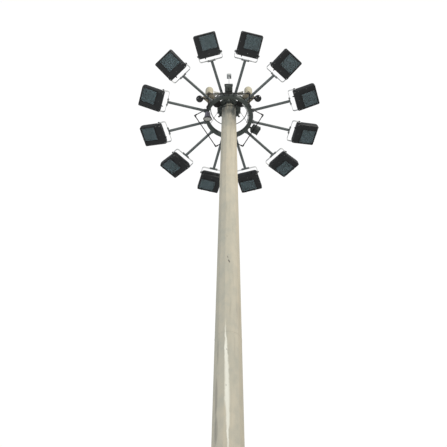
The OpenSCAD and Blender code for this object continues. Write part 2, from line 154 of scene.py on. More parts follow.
def slot_outline(width: float, height: float, n: int = 12) -> Array:
    """Outline of a standing slot with half-circle ends, its lowest point at the origin."""
    r = width / 2
    angle = np.radians(np.linspace(0, 180, n))
    top = np.stack([r * np.cos(angle), height - r + r * np.sin(angle)], -1)
    return np.concatenate([top, np.stack([-top[:, 0], height - top[:, 1]], -1)])


def polygon(sides: int, r: float, phase: float = 0.0) -> Array:
    """Outline of a regular polygon with its corners on radius r."""
    angle = np.arange(sides) * 2 * math.pi / sides + math.radians(phase)
    return r * np.stack([np.cos(angle), np.sin(angle)], -1)


def grown(outline: Array, by: float) -> Array:
    """An outline moved outwards along its own normals.

    The normal at a point is its neighbours' difference turned by a right angle, and the step is
    lengthened at a corner so that both sides move by the same distance.

    Args:
        outline: (m, 2) points, anticlockwise.
        by: distance, below zero to shrink.
    """
    ahead = np.roll(outline, -1, 0) - outline
    back = outline - np.roll(outline, 1, 0)
    ahead = ahead / np.maximum(np.linalg.norm(ahead, axis=1, keepdims=True), 1e-9)
    back = back / np.maximum(np.linalg.norm(back, axis=1, keepdims=True), 1e-9)
    along = ahead + back
    size = np.maximum(np.linalg.norm(along, axis=1, keepdims=True), 0.2)
    normal = np.stack([along[:, 1], -along[:, 0]], -1) / size
    return outline + normal * by * 2 / size


@dataclass
class Shape:
    """Points and faces that become one mesh, or a part of one."""

    points: Array
    quads: Array
    caps: list[Array] = field(default_factory=list)

    def volume(self) -> float:
        """Returns the enclosed volume, below zero where the faces point inwards.

        Each face is fanned into triangles, and the volume is the sum of a . (b x c) / 6 over them.
        """
        fans = [self.quads[:, [0, 1, 2]], self.quads[:, [0, 2, 3]]]
        for cap in self.caps:
            fans.append(np.stack([np.full(len(cap) - 2, cap[0]), cap[1:-1], cap[2:]], -1))
        a, b, c = (self.points[np.concatenate(fans)[:, k]] for k in range(3))
        return float(np.einsum("ij,ij->i", a, np.cross(b, c)).sum() / 6)

    def outward(self) -> "Shape":
        """Returns the shape with its faces pointing outwards."""
        if self.volume() >= 0:
            return self
        return Shape(self.points, self.quads[:, ::-1], [cap[::-1] for cap in self.caps])

    def at(self, place: Array) -> "Shape":
        """Returns the shape moved by a 4x4 matrix."""
        return Shape(self.points @ place[:3, :3].T + place[:3, 3], self.quads, self.caps)

    def repeated(self, places: Array) -> "Shape":
        """Returns one shape that holds a copy at each of the (n, 4, 4) places."""
        return joined([self.at(place) for place in places])


def joined(shapes: list[Shape]) -> Shape:
    """Several shapes as one."""
    starts = np.cumsum([0] + [len(s.points) for s in shapes[:-1]])
    return Shape(
        np.concatenate([s.points for s in shapes]),
        np.concatenate([s.quads + start for s, start in zip(shapes, starts)]),
        [cap + start for s, start in zip(shapes, starts) for cap in s.caps],
    )


def sheet_of(points: Array, closed_along: bool = False) -> Shape:
    """A closed surface over a grid whose columns run round a loop.

    Point (i, j) joins (i, j + 1), (i + 1, j + 1) and (i + 1, j) in a face. The last column joins the
    first, and the first and last rows are capped, or joined to each other.

    Args:
        points: (rows, columns, 3) places.
        closed_along: joins the last row to the first in place of the two caps.
    """
    rows, columns = points.shape[:2]
    i = np.arange(rows if closed_along else rows - 1)[:, None]
    j = np.arange(columns)[None, :]
    k = (j + 1) % columns
    below, above = i * columns, (i + 1) % rows * columns
    quads = np.stack([below + j, below + k, above + k, above + j], -1).reshape(-1, 4)
    caps = [] if closed_along else [np.arange(columns)[::-1], (rows - 1) * columns + np.arange(columns)]
    return Shape(points.reshape(-1, 3), quads, caps).outward()


def stacked(outlines: list[Array], heights: list[float], closed_along: bool = False) -> Shape:
    """A solid whose level sections are the outlines, each at its height."""
    flat = np.stack(outlines)
    z = np.broadcast_to(np.array(heights)[:, None, None], (*flat.shape[:2], 1))
    return sheet_of(np.concatenate([flat, z], -1), closed_along)


def slab(outline: Array, z0: float, z1: float, bevel: float = 0.001) -> Shape:
    """A plate of that outline from z0 to z1, with its rims bevelled."""
    small = grown(outline, -bevel)
    return stacked([small, outline, outline, small], [z0, z0 + bevel, z1 - bevel, z1])


def lathed(profile: list[tuple[float, float]], sides: int = 40, closed: bool = False) -> Shape:
    """A profile of (radius, z) points turned round the Z axis.

    Point (i, j) is (r cos t, r sin t, z) for profile point i and angle t = j whole turns / sides.
    """
    r, z = np.array(profile).T
    t = np.arange(sides) * 2 * math.pi / sides
    points = np.stack([r[:, None] * np.cos(t), r[:, None] * np.sin(t), np.repeat(z[:, None], sides, 1)], -1)
    return sheet_of(points, closed)


def arc_points(radius: float, z: float, start: float, end: float, n: int) -> Array:
    """(n, 3) points on a level arc round the mast's axis, between two directions in degrees."""
    t = np.radians(np.linspace(start, end, n))
    return np.stack([radius * np.cos(t), radius * np.sin(t), np.full(n, z)], -1)


def swept(path: Array, radii: Array | float, sides: int = 12, closed: bool = False) -> Shape:
    """A round tube along a path.

    At each path point the section is a circle across the path's direction d. Its first axis is
    d x (0.1, 0.1, 1), which no path here runs along, and its second is that axis x d.

    Args:
        path: (n, 3) points of the centre line.
        radii: the radius, or an (n, sides) array of radii.
        sides: points round the tube.
        closed: joins the ends.
    """
    if closed:
        along = np.roll(path, -1, 0) - np.roll(path, 1, 0)
    else:
        along = np.gradient(path, axis=0)
    along = along / np.linalg.norm(along, axis=1, keepdims=True)
    across = np.cross(along, [0.1, 0.1, 1.0])
    across = across / np.linalg.norm(across, axis=1, keepdims=True)
    up = np.cross(across, along)
    t = np.arange(sides) * 2 * math.pi / sides
    circle = across[:, None] * np.cos(t)[:, None] + up[:, None] * np.sin(t)[:, None]
    r = np.broadcast_to(radii, (len(path), sides))[..., None]
    return sheet_of(path[:, None] + circle * r, closed)


def through(route: Array, steps: int) -> Array:
    """A smooth curve through every point of a route.

    Between points b and c, with a before and d after them, it is
    (2b + (c - a)t + (2a - 5b + 4c - d)t^2 + (3b - a - 3c + d)t^3) / 2 for t from 0 to 1.

    Args:
        route: (n, 3) points.
        steps: points made between each two.
    """
    ends = np.concatenate([route[:1], route, route[-1:]])
    a, b, c, d = (ends[k : len(ends) - 3 + k, None] for k in range(4))
    t = np.linspace(0, 1, steps, endpoint=False)[None, :, None]
    curve = b + ((c - a) * t + (2 * a - 5 * b + 4 * c - d) * t**2 + (3 * b - a - 3 * c + d) * t**3) / 2
    return np.concatenate([curve.reshape(-1, 3), route[-1:]])


def hexagon(radii: Iterable[float], heights: list[float]) -> Shape:
    """A six-sided solid with those radii at those heights."""
    return stacked([polygon(6, r) for r in radii], heights)


def hex_bolt(size: float) -> Shape:
    """A hexagon head on a washer, standing on the origin, for a thread of that size."""
    head = polygon(6, size * 0.95)
    washer = lathed([(size * 1.15, 0), (size * 1.15, size * 0.2), (size * 0.5, size * 0.22)], 16)
    cap = stacked([head, head, grown(head, -size * 0.12)], [size * 0.15, size * 0.75, size * 0.85])
    return joined([washer, cap])


def bolt_pair(size: float, x: float, half: float, z: float) -> Shape:
    """Two bolt heads that face away from each other along Y, on both sides of a plate."""
    return joined([hex_bolt(size).at(move(x, side * half, z) @ turn("X", -90 * side)) for side in (-1, 1)])


def round_screw(r: float) -> Shape:
    """A low domed screw head, standing on the origin."""
    return lathed([(r, 0), (r, r * 0.2), (r * 0.8, r * 0.42), (r * 0.4, r * 0.55), (r * 0.1, r * 0.58)], 12)


def softened(outline: Array, r: float, n: int = 4, closed: bool = True) -> Array:
    """A path with each corner P replaced by the curve (1-t)^2 A + 2t(1-t) P + t^2 B.

    A and B lie at distance r from P, on the way to its two neighbours.

    Args:
        outline: (m, 2) or (m, 3) points.
        r: the distance.
        n: points for each corner.
        closed: whether the last point joins the first; an open path keeps its two ends.
    """
    before, after = np.roll(outline, 1, 0) - outline, np.roll(outline, -1, 0) - outline
    a = outline + before / np.linalg.norm(before, axis=1, keepdims=True) * r
    b = outline + after / np.linalg.norm(after, axis=1, keepdims=True) * r
    t = np.linspace(0, 1, n)[None, :, None]
    curve = (1 - t) ** 2 * a[:, None] + 2 * t * (1 - t) * outline[:, None] + t**2 * b[:, None]
    if closed:
        return curve.reshape(-1, outline.shape[1])
    return np.concatenate([outline[:1], curve[1:-1].reshape(-1, outline.shape[1]), outline[-1:]])


def bent_strip(path: Array, thickness: float, height: float, bevel: float = 0.001) -> Shape:
    """A flat bar on edge, bent along a level path.

    At each path point the section is a softened rectangle in the plane of the path's level normal
    and the Z axis.

    Args:
        path: (n, 2) points of the bar's middle.
        thickness: across the path.
        height: along Z, centred on 0.
        bevel: of the section's corners.
    """
    along = np.gradient(path, axis=0)
    along = along / np.linalg.norm(along, axis=1, keepdims=True)
    normal = np.stack([along[:, 1], -along[:, 0]], -1)
    corners = np.array([[1, 1], [-1, 1], [-1, -1], [1, -1]]) * [thickness / 2, height / 2]
    section = softened(corners, bevel, 3)
    level = path[:, None] + normal[:, None] * section[None, :, :1]
    upright = np.broadcast_to(section[None, :, 1:], (*level.shape[:2], 1))
    return sheet_of(np.concatenate([level, upright], -1))


def block(x: tuple[float, float], y: tuple[float, float], z: tuple[float, float], r: float = 0.004) -> Shape:
    """A box with rounded upright corners and bevelled rims."""
    return slab(rounded_rectangle(x, y, r, 4), *z, bevel=min(r / 2, 0.002))


def gland(r: float, length: float) -> Shape:
    """A cable gland along +Z from the origin: a hexagon, a ribbed nut and a rounded end."""
    nut = hexagon((r, r, r * 0.94), [0, length * 0.22, length * 0.25])
    body = lathed([(r * 0.8, length * 0.2), (r * 0.86, length * 0.3), (r * 0.86, length * 0.7),
                   (r * 0.62, length * 0.92), (r * 0.5, length), (r * 0.3, length)], 20)
    return joined([nut, body])


# ---------------------------------------------------------------- materials


def node(tree: Tree, kind: str, inputs: dict | None = None, **settings) -> bpy.types.Node:
    """Adds a shader node.

    Args:
        tree: the tree it goes in.
        kind: the node's type name, without "ShaderNode".
        inputs: values or sockets for its inputs, by name or number.
        settings: its own properties.

    Returns:
        The node.
    """
    made = tree.nodes.new("ShaderNode" + kind)
    for key, value in settings.items():
        setattr(made, key, value)
    for key, value in (inputs or {}).items():
        if isinstance(value, Socket):
            tree.links.new(value, made.inputs[key])
        elif isinstance(value, tuple) and len(value) == 3 and made.inputs[key].type == "RGBA":
            made.inputs[key].default_value = (*value, 1)
        else:
            made.inputs[key].default_value = value
    return made


def sums(tree: Tree, operation: str, *values: object) -> Socket:
    """Adds a Math node on numbers or sockets and returns its result."""
    return node(tree, "Math", dict(enumerate(values)), operation=operation).outputs[0]


def times(tree: Tree, a: object, b: object) -> Socket:
    """Multiplies two numbers or sockets and returns the result."""
    return sums(tree, "MULTIPLY", a, b)


def local(tree: Tree) -> Socket:
    """Returns the Object coordinates."""
    return node(tree, "TexCoord").outputs["Object"]


def noise(tree: Tree, place: Socket, scale: object, detail: float, roughness: float = 0.5) -> Socket:
    """Adds a noise texture and returns its value."""
    inputs = {"Vector": place, "Scale": scale, "Detail": detail, "Roughness": roughness}
    return node(tree, "TexNoise", inputs).outputs[0]


def ramp(tree: Tree, value: object, low: float, high: float, to: tuple = (0.0, 1.0)) -> object:
    """Maps a value from low..high onto `to` along a smooth step, and returns the socket."""
    inputs = {"Value": value, "From Min": low, "From Max": high, "To Min": to[0], "To Max": to[1]}
    return node(tree, "MapRange", inputs, interpolation_type="SMOOTHSTEP").outputs[0]


def blended(tree: Tree, mask: object, a: object, b: object) -> Socket:
    """Mixes two colours by a mask, and returns the colour."""
    mix = node(tree, "Mix", {0: mask}, data_type="RGBA")
    for number, value in ((6, a), (7, b)):
        if isinstance(value, Socket):
            tree.links.new(value, mix.inputs[number])
        else:
            mix.inputs[number].default_value = (*value, 1)
    return mix.outputs[2]


class Effects:
    """The shader node groups that several finishes share. Each is built when first asked for."""

    def start(self, name: str, inputs: list[str], output: str) -> tuple:
        """Makes an empty group with float sockets.

        Returns:
            The tree, its input node's sockets by name, and its output socket.
        """
        tree = bpy.data.node_groups.new(name, "ShaderNodeTree")
        for label in inputs:
            tree.interface.new_socket(name=label, in_out="INPUT", socket_type="NodeSocketFloat")
        tree.interface.new_socket(name=output, in_out="OUTPUT", socket_type="NodeSocketFloat")
        start = tree.nodes.new("NodeGroupInput")
        end = tree.nodes.new("NodeGroupOutput")
        return tree, {label: start.outputs[label] for label in inputs}, end.inputs[output]

    @cache
    def patches(self) -> Tree:
        """Patches or, squeezed along Z, run-off streaks: noise stepped between Low and High."""
        tree, given, out = self.start("Patches", ["Scale", "Squeeze", "Low", "High"], "Mask")
        place = local(tree)
        factor = node(tree, "CombineXYZ", {0: 1.0, 1: 1.0, 2: given["Squeeze"]}).outputs[0]
        place = node(tree, "VectorMath", {0: place, 1: factor}, operation="MULTIPLY").outputs[0]
        cloud = noise(tree, place, given["Scale"], 5.0, 0.62)
        step = node(tree, "MapRange", {"Value": cloud, "From Min": given["Low"], "From Max": given["High"]},
                    interpolation_type="SMOOTHSTEP")
        tree.links.new(step.outputs[0], out)
        return tree

    @cache
    def grain(self) -> Tree:
        """A cast or painted grain: two sizes of noise added."""
        tree, given, out = self.start("Grain", ["Scale"], "Height")
        place = local(tree)
        coarse = noise(tree, place, given["Scale"], 2.0)
        small = times(tree, given["Scale"], 5.0)
        fine = noise(tree, place, small, 3.0)
        tree.links.new(sums(tree, "MULTIPLY_ADD", fine, 0.5, coarse), out)
        return tree

    @cache
    def edges(self) -> Tree:
        """Rubbed edges: where the normal of a rounded copy leaves the true one, broken by noise."""
        tree, given, out = self.start("Edges", ["Radius", "Low", "High"], "Mask")
        rounded = node(tree, "Bevel", {"Radius": given["Radius"]}, samples=4).outputs[0]
        true = node(tree, "NewGeometry").outputs["Normal"]
        dot = node(tree, "VectorMath", {0: rounded, 1: true}, operation="DOT_PRODUCT").outputs["Value"]
        bare = times(tree, sums(tree, "SUBTRACT", 1.0, dot), noise(tree, local(tree), 60.0, 4.0))
        step = node(tree, "MapRange", {"Value": bare, "From Min": given["Low"], "From Max": given["High"]})
        tree.links.new(step.outputs[0], out)
        return tree

    @cache
    def settled(self) -> Tree:
        """Dust that lies on faces that look up, thinned by noise."""
        tree, given, out = self.start("Settled", ["Scale", "Amount"], "Mask")
        coords = node(tree, "TexCoord")
        up = node(tree, "SeparateXYZ", {0: coords.outputs["Normal"]}).outputs[2]
        cloud = noise(tree, coords.outputs["Object"], given["Scale"], 6.0, 0.7)
        lying = times(tree, ramp(tree, up, 0.3, 0.95), ramp(tree, cloud, 0.3, 0.62))
        tree.links.new(times(tree, lying, given["Amount"]), out)
        return tree

    @cache
    def spangle(self) -> Tree:
        """The crystals of hot-dip zinc: a random tone for each Voronoi cell."""
        tree, given, out = self.start("Spangle", ["Scale"], "Tone")
        place = local(tree)
        cells = node(tree, "TexVoronoi", {"Vector": place, "Scale": given["Scale"]}).outputs["Color"]
        tree.links.new(node(tree, "SeparateColor", {0: cells}).outputs[0], out)
        return tree


EFFECTS = Effects()
GRIME: Colour = (0.055, 0.05, 0.042)
DUST: Colour = (0.34, 0.31, 0.26)


@dataclass(frozen=True)
class Finish:
    """One surface finish. Colours are linear, and scales are per metre.

    A method of this class builds each layer: patches of a second colour, run-off streaks, zinc
    crystals, dust on top and rubbed edges, over a bump of grain.
    """

    name: str
    slot: Slot
    colour: Colour
    second: Colour
    rough: tuple[float, float] = (0.45, 0.65)
    metallic: float = 0.0
    patch: float = 6.0
    streak: float = 0.35
    grime: Colour = GRIME
    dust: float = 0.5
    wear: Colour | None = None
    spangle: float = 0.0
    grain: float = 300.0
    bump: float = 0.25
    coat: float = 0.0
    transmission: float = 0.0

    def effect(self, tree: Tree, kind: Tree, **inputs: float) -> Socket:
        """Places a shared effect with this finish's own values, and returns its result."""
        placed = node(tree, "Group", node_tree=kind)
        for key, value in inputs.items():
            placed.inputs[key].default_value = value
        return placed.outputs[0]

    def paint(self, tree: Tree) -> tuple[Socket, Socket]:
        """Builds the colour and roughness layers.

        Returns:
            The colour's and the roughness's sockets.
        """
        patches = self.effect(tree, EFFECTS.patches(), Scale=self.patch, Squeeze=0.7, Low=0.35, High=0.65)
        fine = self.effect(tree, EFFECTS.patches(), Scale=self.patch * 7, Squeeze=1.0, Low=0.3, High=0.75)
        mask = sums(tree, "MULTIPLY_ADD", fine, 0.35, times(tree, patches, 0.65))
        if self.spangle:
            tone = self.effect(tree, EFFECTS.spangle(), Scale=self.spangle)
            mask = sums(tree, "MULTIPLY_ADD", tone, 0.5, times(tree, mask, 0.5))
        colour = blended(tree, mask, self.colour, self.second)
        streaks = self.effect(tree, EFFECTS.patches(), Scale=self.patch * 5, Squeeze=0.08, Low=0.5, High=0.72)
        colour = blended(tree, times(tree, streaks, self.streak), colour, self.grime)
        dust = self.effect(tree, EFFECTS.settled(), Scale=30.0, Amount=self.dust)
        colour = blended(tree, dust, colour, DUST)
        rough = ramp(tree, mask, 0.0, 1.0, self.rough)
        rough = sums(tree, "MULTIPLY_ADD", dust, 0.3, rough)
        if self.wear:
            bare = self.effect(tree, EFFECTS.edges(), Radius=0.003, Low=0.03, High=0.14)
            colour = blended(tree, bare, colour, self.wear)
        return colour, rough

    def relief(self, tree: Tree) -> Socket:
        """Returns the normal of the grain's bump."""
        height = self.effect(tree, EFFECTS.grain(), Scale=self.grain)
        return node(tree, "Bump", {"Height": height, "Strength": self.bump, "Distance": 0.001}).outputs[0]

    def material(self) -> bpy.types.Material:
        """Returns this finish's material, built when first asked for."""
        ready = bpy.data.materials.get(self.name)
        if ready:
            return ready
        made = bpy.data.materials.new(self.name)
        made.use_nodes = True
        tree = made.node_tree
        shader = tree.nodes["Principled BSDF"]
        colour, rough = self.paint(tree)
        tree.links.new(colour, shader.inputs["Base Color"])
        tree.links.new(rough, shader.inputs["Roughness"])
        tree.links.new(self.relief(tree), shader.inputs["Normal"])
        shader.inputs["Metallic"].default_value = self.metallic
        shader.inputs["Coat Weight"].default_value = self.coat
        shader.inputs["Transmission Weight"].default_value = self.transmission
        made.diffuse_color = (*self.colour, 1)
        return made


@dataclass(frozen=True)
class MastSteel(Finish):
    """The weathered mast: its flats' tones, run-off, a pale tall streak that is a painted highlight, smudges, and a
    grey-green top that is partly staining and partly painted shade under the carriage.
    """

    grey: Colour = (0.44, 0.44, 0.375)
    # The top's colour: partly staining, partly painted shade under the carriage and floodlights.
    top: Colour = (0.17, 0.20, 0.20)
    # The colour of a painted highlight: the tall pale streak up the flat that faces the front.
    pale: Colour = (0.93, 0.91, 0.80)
    smudge: Colour = (0.10, 0.09, 0.085)
    rust: Colour = (0.20, 0.085, 0.035)
    # Where the painted highlight sits round the mast, how far it leans for each metre up, and the heights it runs
    # between.
    highlight_at: float = 0.0
    highlight_lean: float = -0.018
    highlight_z: tuple[float, float] = (10.6, 13.5)

    def spot(self, tree: Tree, round_: object, z: object, at: tuple, size: tuple, lean: float) -> object:
        """A soft ellipse on the mast's skin.

        With u and v the distances round and up from its middle, it is full where
        ((u - lean v) / width)^2 + (v / height)^2 is small, and gone where that is 1.

        Args:
            tree: the tree it goes in.
            round_: distance round the mast from its front, in metres.
            z: height.
            at: its middle, round and up.
            size: its half width and half height.
            lean: how far it shifts sideways for each metre up.

        Returns:
            The mask's socket.
        """
        v = sums(tree, "SUBTRACT", z, at[1])
        u = sums(tree, "SUBTRACT", sums(tree, "SUBTRACT", round_, at[0]), times(tree, v, lean))
        u = sums(tree, "POWER", sums(tree, "ABSOLUTE", sums(tree, "DIVIDE", u, size[0])), 2.0)
        v = sums(tree, "POWER", sums(tree, "ABSOLUTE", sums(tree, "DIVIDE", v, size[1])), 2.0)
        return ramp(tree, sums(tree, "ADD", u, v), 1.0, 0.25)

    def paint(self, tree: Tree) -> tuple[Socket, Socket]:
        """Builds the mast's colour and roughness."""
        x, y, z = node(tree, "SeparateXYZ", {0: local(tree)}).outputs
        angle = sums(tree, "ARCTAN2", x, times(tree, y, -1.0))
        radius = sums(tree, "SQRT", sums(tree, "MULTIPLY_ADD", x, x, times(tree, y, y)))
        round_ = times(tree, angle, radius)
        flat = sums(tree, "ROUND", times(tree, angle, 6 / math.pi))
        tone = node(tree, "TexWhiteNoise", {"W": sums(tree, "ADD", flat, 31.0)}, noise_dimensions="1D").outputs[0]
        large = self.effect(tree, EFFECTS.patches(), Scale=1.7, Squeeze=0.22, Low=0.36, High=0.64)
        mottle = self.effect(tree, EFFECTS.patches(), Scale=9.0, Squeeze=0.5, Low=0.38, High=0.68)
        fine = self.effect(tree, EFFECTS.patches(), Scale=70.0, Squeeze=0.8, Low=0.3, High=0.75)
        mask = sums(tree, "MULTIPLY_ADD", tone, 0.34, times(tree, large, 0.36))
        mask = sums(tree, "MULTIPLY_ADD", mottle, 0.25, sums(tree, "MULTIPLY_ADD", fine, 0.1, mask))
        colour = blended(tree, mask, self.colour, self.grey)
        run = self.effect(tree, EFFECTS.patches(), Scale=26.0, Squeeze=0.035, Low=0.52, High=0.75)
        colour = blended(tree, times(tree, run, self.streak), colour, self.second)
        # The top, from 18.9 to 19.85 m, under the carriage and floodlights, goes grey-green in noisy patches: partly
        # staining, partly painted shade.
        dark = self.effect(tree, EFFECTS.patches(), Scale=16.0, Squeeze=0.12, Low=0.3, High=0.7)
        high = times(tree, ramp(tree, z, 18.9, 19.85), ramp(tree, dark, 0.0, 1.0, (0.35, 1.0)))
        colour = blended(tree, times(tree, high, 0.85), colour, self.top)
        # Painted highlight: a narrow pale streak up the flat that faces the front, between 10.6 and 13.5 m, ragged and
        # broken by the mottle.
        ragged = times(tree, sums(tree, "SUBTRACT", mottle, 0.5), 0.012)
        middle = sums(tree, "MULTIPLY_ADD", sums(tree, "SUBTRACT", z, 12.0), self.highlight_lean, self.highlight_at)
        side = sums(tree, "ABSOLUTE", sums(tree, "ADD", sums(tree, "SUBTRACT", round_, middle), ragged))
        lengthwise = sums(tree, "ABSOLUTE", sums(tree, "SUBTRACT", z, sum(self.highlight_z) / 2))
        lengthwise = sums(tree, "SUBTRACT", lengthwise, 0.5)
        width = ramp(tree, lengthwise, 0.9, -0.4, (0.008, 0.042))
        streak = ramp(tree, sums(tree, "DIVIDE", side, width), 1.0, 0.3)
        ends = times(tree, ramp(tree, z, self.highlight_z[0], self.highlight_z[0] + 0.5),
                    ramp(tree, z, self.highlight_z[1], self.highlight_z[1] - 0.6))
        broken = ramp(tree, mottle, 0.0, 1.0, (0.85, 1.0))
        streak = times(tree, times(tree, streak, ends), broken)
        colour = blended(tree, streak, colour, self.pale)
        for at, size, lean, depth in SMUDGES:
            spot = self.spot(tree, round_, z, at, size, lean)
            colour = blended(tree, times(tree, spot, depth), colour, self.smudge)
        low = times(tree, ramp(tree, z, 1.1, 0.03), ramp(tree, dark, 0.0, 1.0, (0.3, 1.0)))
        colour = blended(tree, times(tree, low, 0.6), colour, GRIME)
        joint = times(tree, ramp(tree, z, 8.2, 8.98), ramp(tree, z, 9.02, 8.99))
        colour = blended(tree, times(tree, times(tree, joint, run), 0.8), colour, self.rust)
        return colour, ramp(tree, mask, 0.0, 1.0, self.rough)


# each: place round and up, half width and half height, lean, depth
SMUDGES = [
    ((0.010, 14.76), (0.013, 0.050), -0.25, 0.85),
    ((-0.012, 14.87), (0.010, 0.035), -0.25, 0.6),
    ((-0.023, 15.43), (0.006, 0.022), 0.0, 0.6),
    ((-0.024, 12.01), (0.005, 0.018), 0.0, 0.7),
    ((-0.020, 12.72), (0.005, 0.018), 0.0, 0.7),
    ((-0.168, 11.85), (0.030, 0.45), 0.0, 0.32),
    ((-0.160, 11.25), (0.035, 0.3), 0.0, 0.35),
    ((-0.150, 12.7), (0.02, 0.3), 0.0, 0.20),
]


@dataclass(frozen=True)
class Glass(Finish):
    """The floodlight's pane: tinted glass with a film of dirt and faint rows behind it."""

    def paint(self, tree: Tree) -> tuple[Socket, Socket]:
        """Builds the tint and a roughness that dirt raises in patches."""
        film = self.effect(tree, EFFECTS.patches(), Scale=7.0, Squeeze=1.0, Low=0.35, High=0.7)
        specks = self.effect(tree, EFFECTS.patches(), Scale=120.0, Squeeze=1.0, Low=0.6, High=0.72)
        colour = blended(tree, film, self.colour, self.second)
        colour = blended(tree, times(tree, specks, 0.5), colour, self.grime)
        return colour, ramp(tree, film, 0.0, 1.0, self.rough)


@dataclass(frozen=True)
class Reflector(Finish):
    """Dull hammered aluminium in rows across the floodlight."""

    def relief(self, tree: Tree) -> Socket:
        """Returns the normal of rows of small dimples."""
        place = local(tree)
        cells = node(tree, "TexVoronoi", {"Vector": place, "Scale": 110.0}, feature="SMOOTH_F1").outputs["Distance"]
        return node(tree, "Bump", {"Height": cells, "Strength": 0.12, "Distance": 0.001}).outputs[0]


@dataclass(frozen=True)
class Wire(Finish):
    """Greased rope wire: the strands are in the mesh, and this adds the wires in each strand."""

    def relief(self, tree: Tree) -> Socket:
        """Returns the normal of fine slanting wires."""
        place = local(tree)
        turned = node(tree, "Mapping", {"Vector": place, "Rotation": (0.5, 0.4, 0.0)}).outputs[0]
        wires = node(tree, "TexWave", {"Vector": turned, "Scale": 220.0, "Distortion": 1.0}, bands_direction="Z")
        return node(tree, "Bump", {"Height": wires.outputs["Fac"], "Strength": 0.7, "Distance": 0.0006}).outputs[0]


MAST = MastSteel("mast_weathering_and_painted_light", Slot.MAST, (0.68, 0.60, 0.455), (0.34, 0.31, 0.24), rough=(0.55, 0.72),
                 streak=0.45, grain=160.0, bump=0.22, highlight_at=-0.016)
FLANGE = Finish("flange_zinc", Slot.FLANGE, (0.36, 0.37, 0.36), (0.25, 0.255, 0.25), (0.45, 0.7), 0.55, 8.0, 0.5,
                (0.12, 0.07, 0.04), spangle=60.0, wear=(0.45, 0.45, 0.43))
# Painted shade: the head's parts, seen from below, get a much darker copy of the arms' dark steel, in the same slot.
DARK = Finish("dark_steel", Slot.DARK, (0.028, 0.035, 0.033), (0.055, 0.066, 0.062), (0.42, 0.62), 0.0, 9.0, 0.3,
              wear=(0.16, 0.17, 0.165), grain=420.0)
ARM = Finish("arm_steel", Slot.DARK, (0.12, 0.14, 0.14), (0.18, 0.20, 0.20), (0.36, 0.55), 0.15, 9.0, 0.3,
             wear=(0.24, 0.25, 0.25), grain=420.0)
# Painted shade: the ring gets a darker copy of the arms' dark steel, in the same slot.
RING = Finish("ring_paint", Slot.DARK, (0.062, 0.076, 0.070), (0.10, 0.118, 0.108), (0.42, 0.62), 0.0, 9.0, 0.35,
              wear=(0.22, 0.23, 0.22), grain=420.0)
ZINC = Finish("bright_zinc", Slot.ZINC, (0.86, 0.87, 0.87), (0.66, 0.67, 0.67), (0.3, 0.5), 0.3, 8.0, 0.18,
              (0.25, 0.22, 0.18), spangle=90.0, bump=0.12)
BOLT = Finish("bolt_zinc", Slot.ZINC, (0.50, 0.50, 0.48), (0.34, 0.33, 0.30), (0.3, 0.5), 0.8, 20.0, 0.2)
STEEL = Finish("screw_steel", Slot.ZINC, (0.62, 0.62, 0.60), (0.48, 0.48, 0.46), (0.25, 0.4), 0.85, 20.0, 0.1)
ROPE = Wire("rope_wire", Slot.ROPE, (0.30, 0.30, 0.28), (0.16, 0.15, 0.13), (0.35, 0.55), 0.7, 30.0, 0.3)
LAMP = Finish("lamp_powder_coat", Slot.LAMP, (0.010, 0.011, 0.012), (0.018, 0.020, 0.022), (0.38, 0.55), 0.0, 7.0,
              0.12, wear=(0.06, 0.062, 0.065), grain=900.0, bump=0.3, dust=0.4)
PANE = Glass("lamp_pane", Slot.GLASS, (0.66, 0.76, 0.80), (0.56, 0.66, 0.68), (0.03, 0.10), grime=(0.12, 0.12, 0.11),
             grain=30.0, bump=0.02, transmission=1.0)
REFLECTOR = Reflector("lamp_reflector", Slot.FITTING, (0.42, 0.47, 0.48), (0.35, 0.40, 0.41), (0.6, 0.7), 0.0, 20.0,
                      0.1, dust=0.0)
BEACON = Finish("beacon_cream", Slot.BEACON, (0.56, 0.49, 0.36), (0.34, 0.31, 0.25), (0.4, 0.6), 0.1, 26.0, 0.45,
                wear=(0.60, 0.58, 0.52), grain=500.0)
LENS = Finish("beacon_opal", Slot.LENS, (0.74, 0.68, 0.50), (0.62, 0.56, 0.40), (0.18, 0.34), 0.0, 12.0, 0.25,
              dust=0.35, grain=200.0, bump=0.06, coat=0.3)
HORN = Finish("horn_paint", Slot.HORN, (0.58, 0.58, 0.54), (0.46, 0.46, 0.42), (0.4, 0.55), 0.1, 14.0, 0.3)
BOX = Finish("box_moulding", Slot.BOX, (0.060, 0.072, 0.066), (0.085, 0.098, 0.090), (0.42, 0.6), 0.0, 12.0, 0.3,
             grain=900.0, wear=(0.10, 0.11, 0.105))
BLACK = Finish("black_moulding", Slot.BLACK, (0.010, 0.010, 0.011), (0.018, 0.018, 0.019), (0.3, 0.5), 0.0, 20.0, 0.15,
               grain=900.0)
DOME = Finish("smoked_dome", Slot.BLACK, (0.006, 0.006, 0.007), (0.011, 0.011, 0.012), (0.06, 0.16), 0.0, 20.0, 0.08,
              grain=60.0, bump=0.02, coat=0.4, dust=0.3)
RUBBER = Finish("buffer_rubber", Slot.RUBBER, (0.014, 0.014, 0.014), (0.028, 0.027, 0.026), (0.65, 0.85), 0.0, 18.0,
                0.2, grain=700.0, bump=0.4)
BELL = Finish("bell_aluminium", Slot.BELL, (0.26, 0.245, 0.29), (0.18, 0.17, 0.20), (0.35, 0.5), 0.45, 14.0, 0.25,
              wear=(0.45, 0.44, 0.46))
WHITE = Finish("white_moulding", Slot.WHITE, (0.80, 0.80, 0.77), (0.68, 0.67, 0.62), (0.3, 0.42), 0.0, 20.0, 0.15,
               grain=300.0, bump=0.1)
FITTING = Finish("fitting_grey", Slot.FITTING, (0.50, 0.52, 0.52), (0.40, 0.42, 0.42), (0.35, 0.5), 0.0, 24.0, 0.25,
                 grain=500.0)
LEAD = Finish("lead_sheath", Slot.BLACK, (0.012, 0.012, 0.013), (0.022, 0.021, 0.020), (0.4, 0.6), 0.0, 24.0, 0.15)


# ---------------------------------------------------------------- building


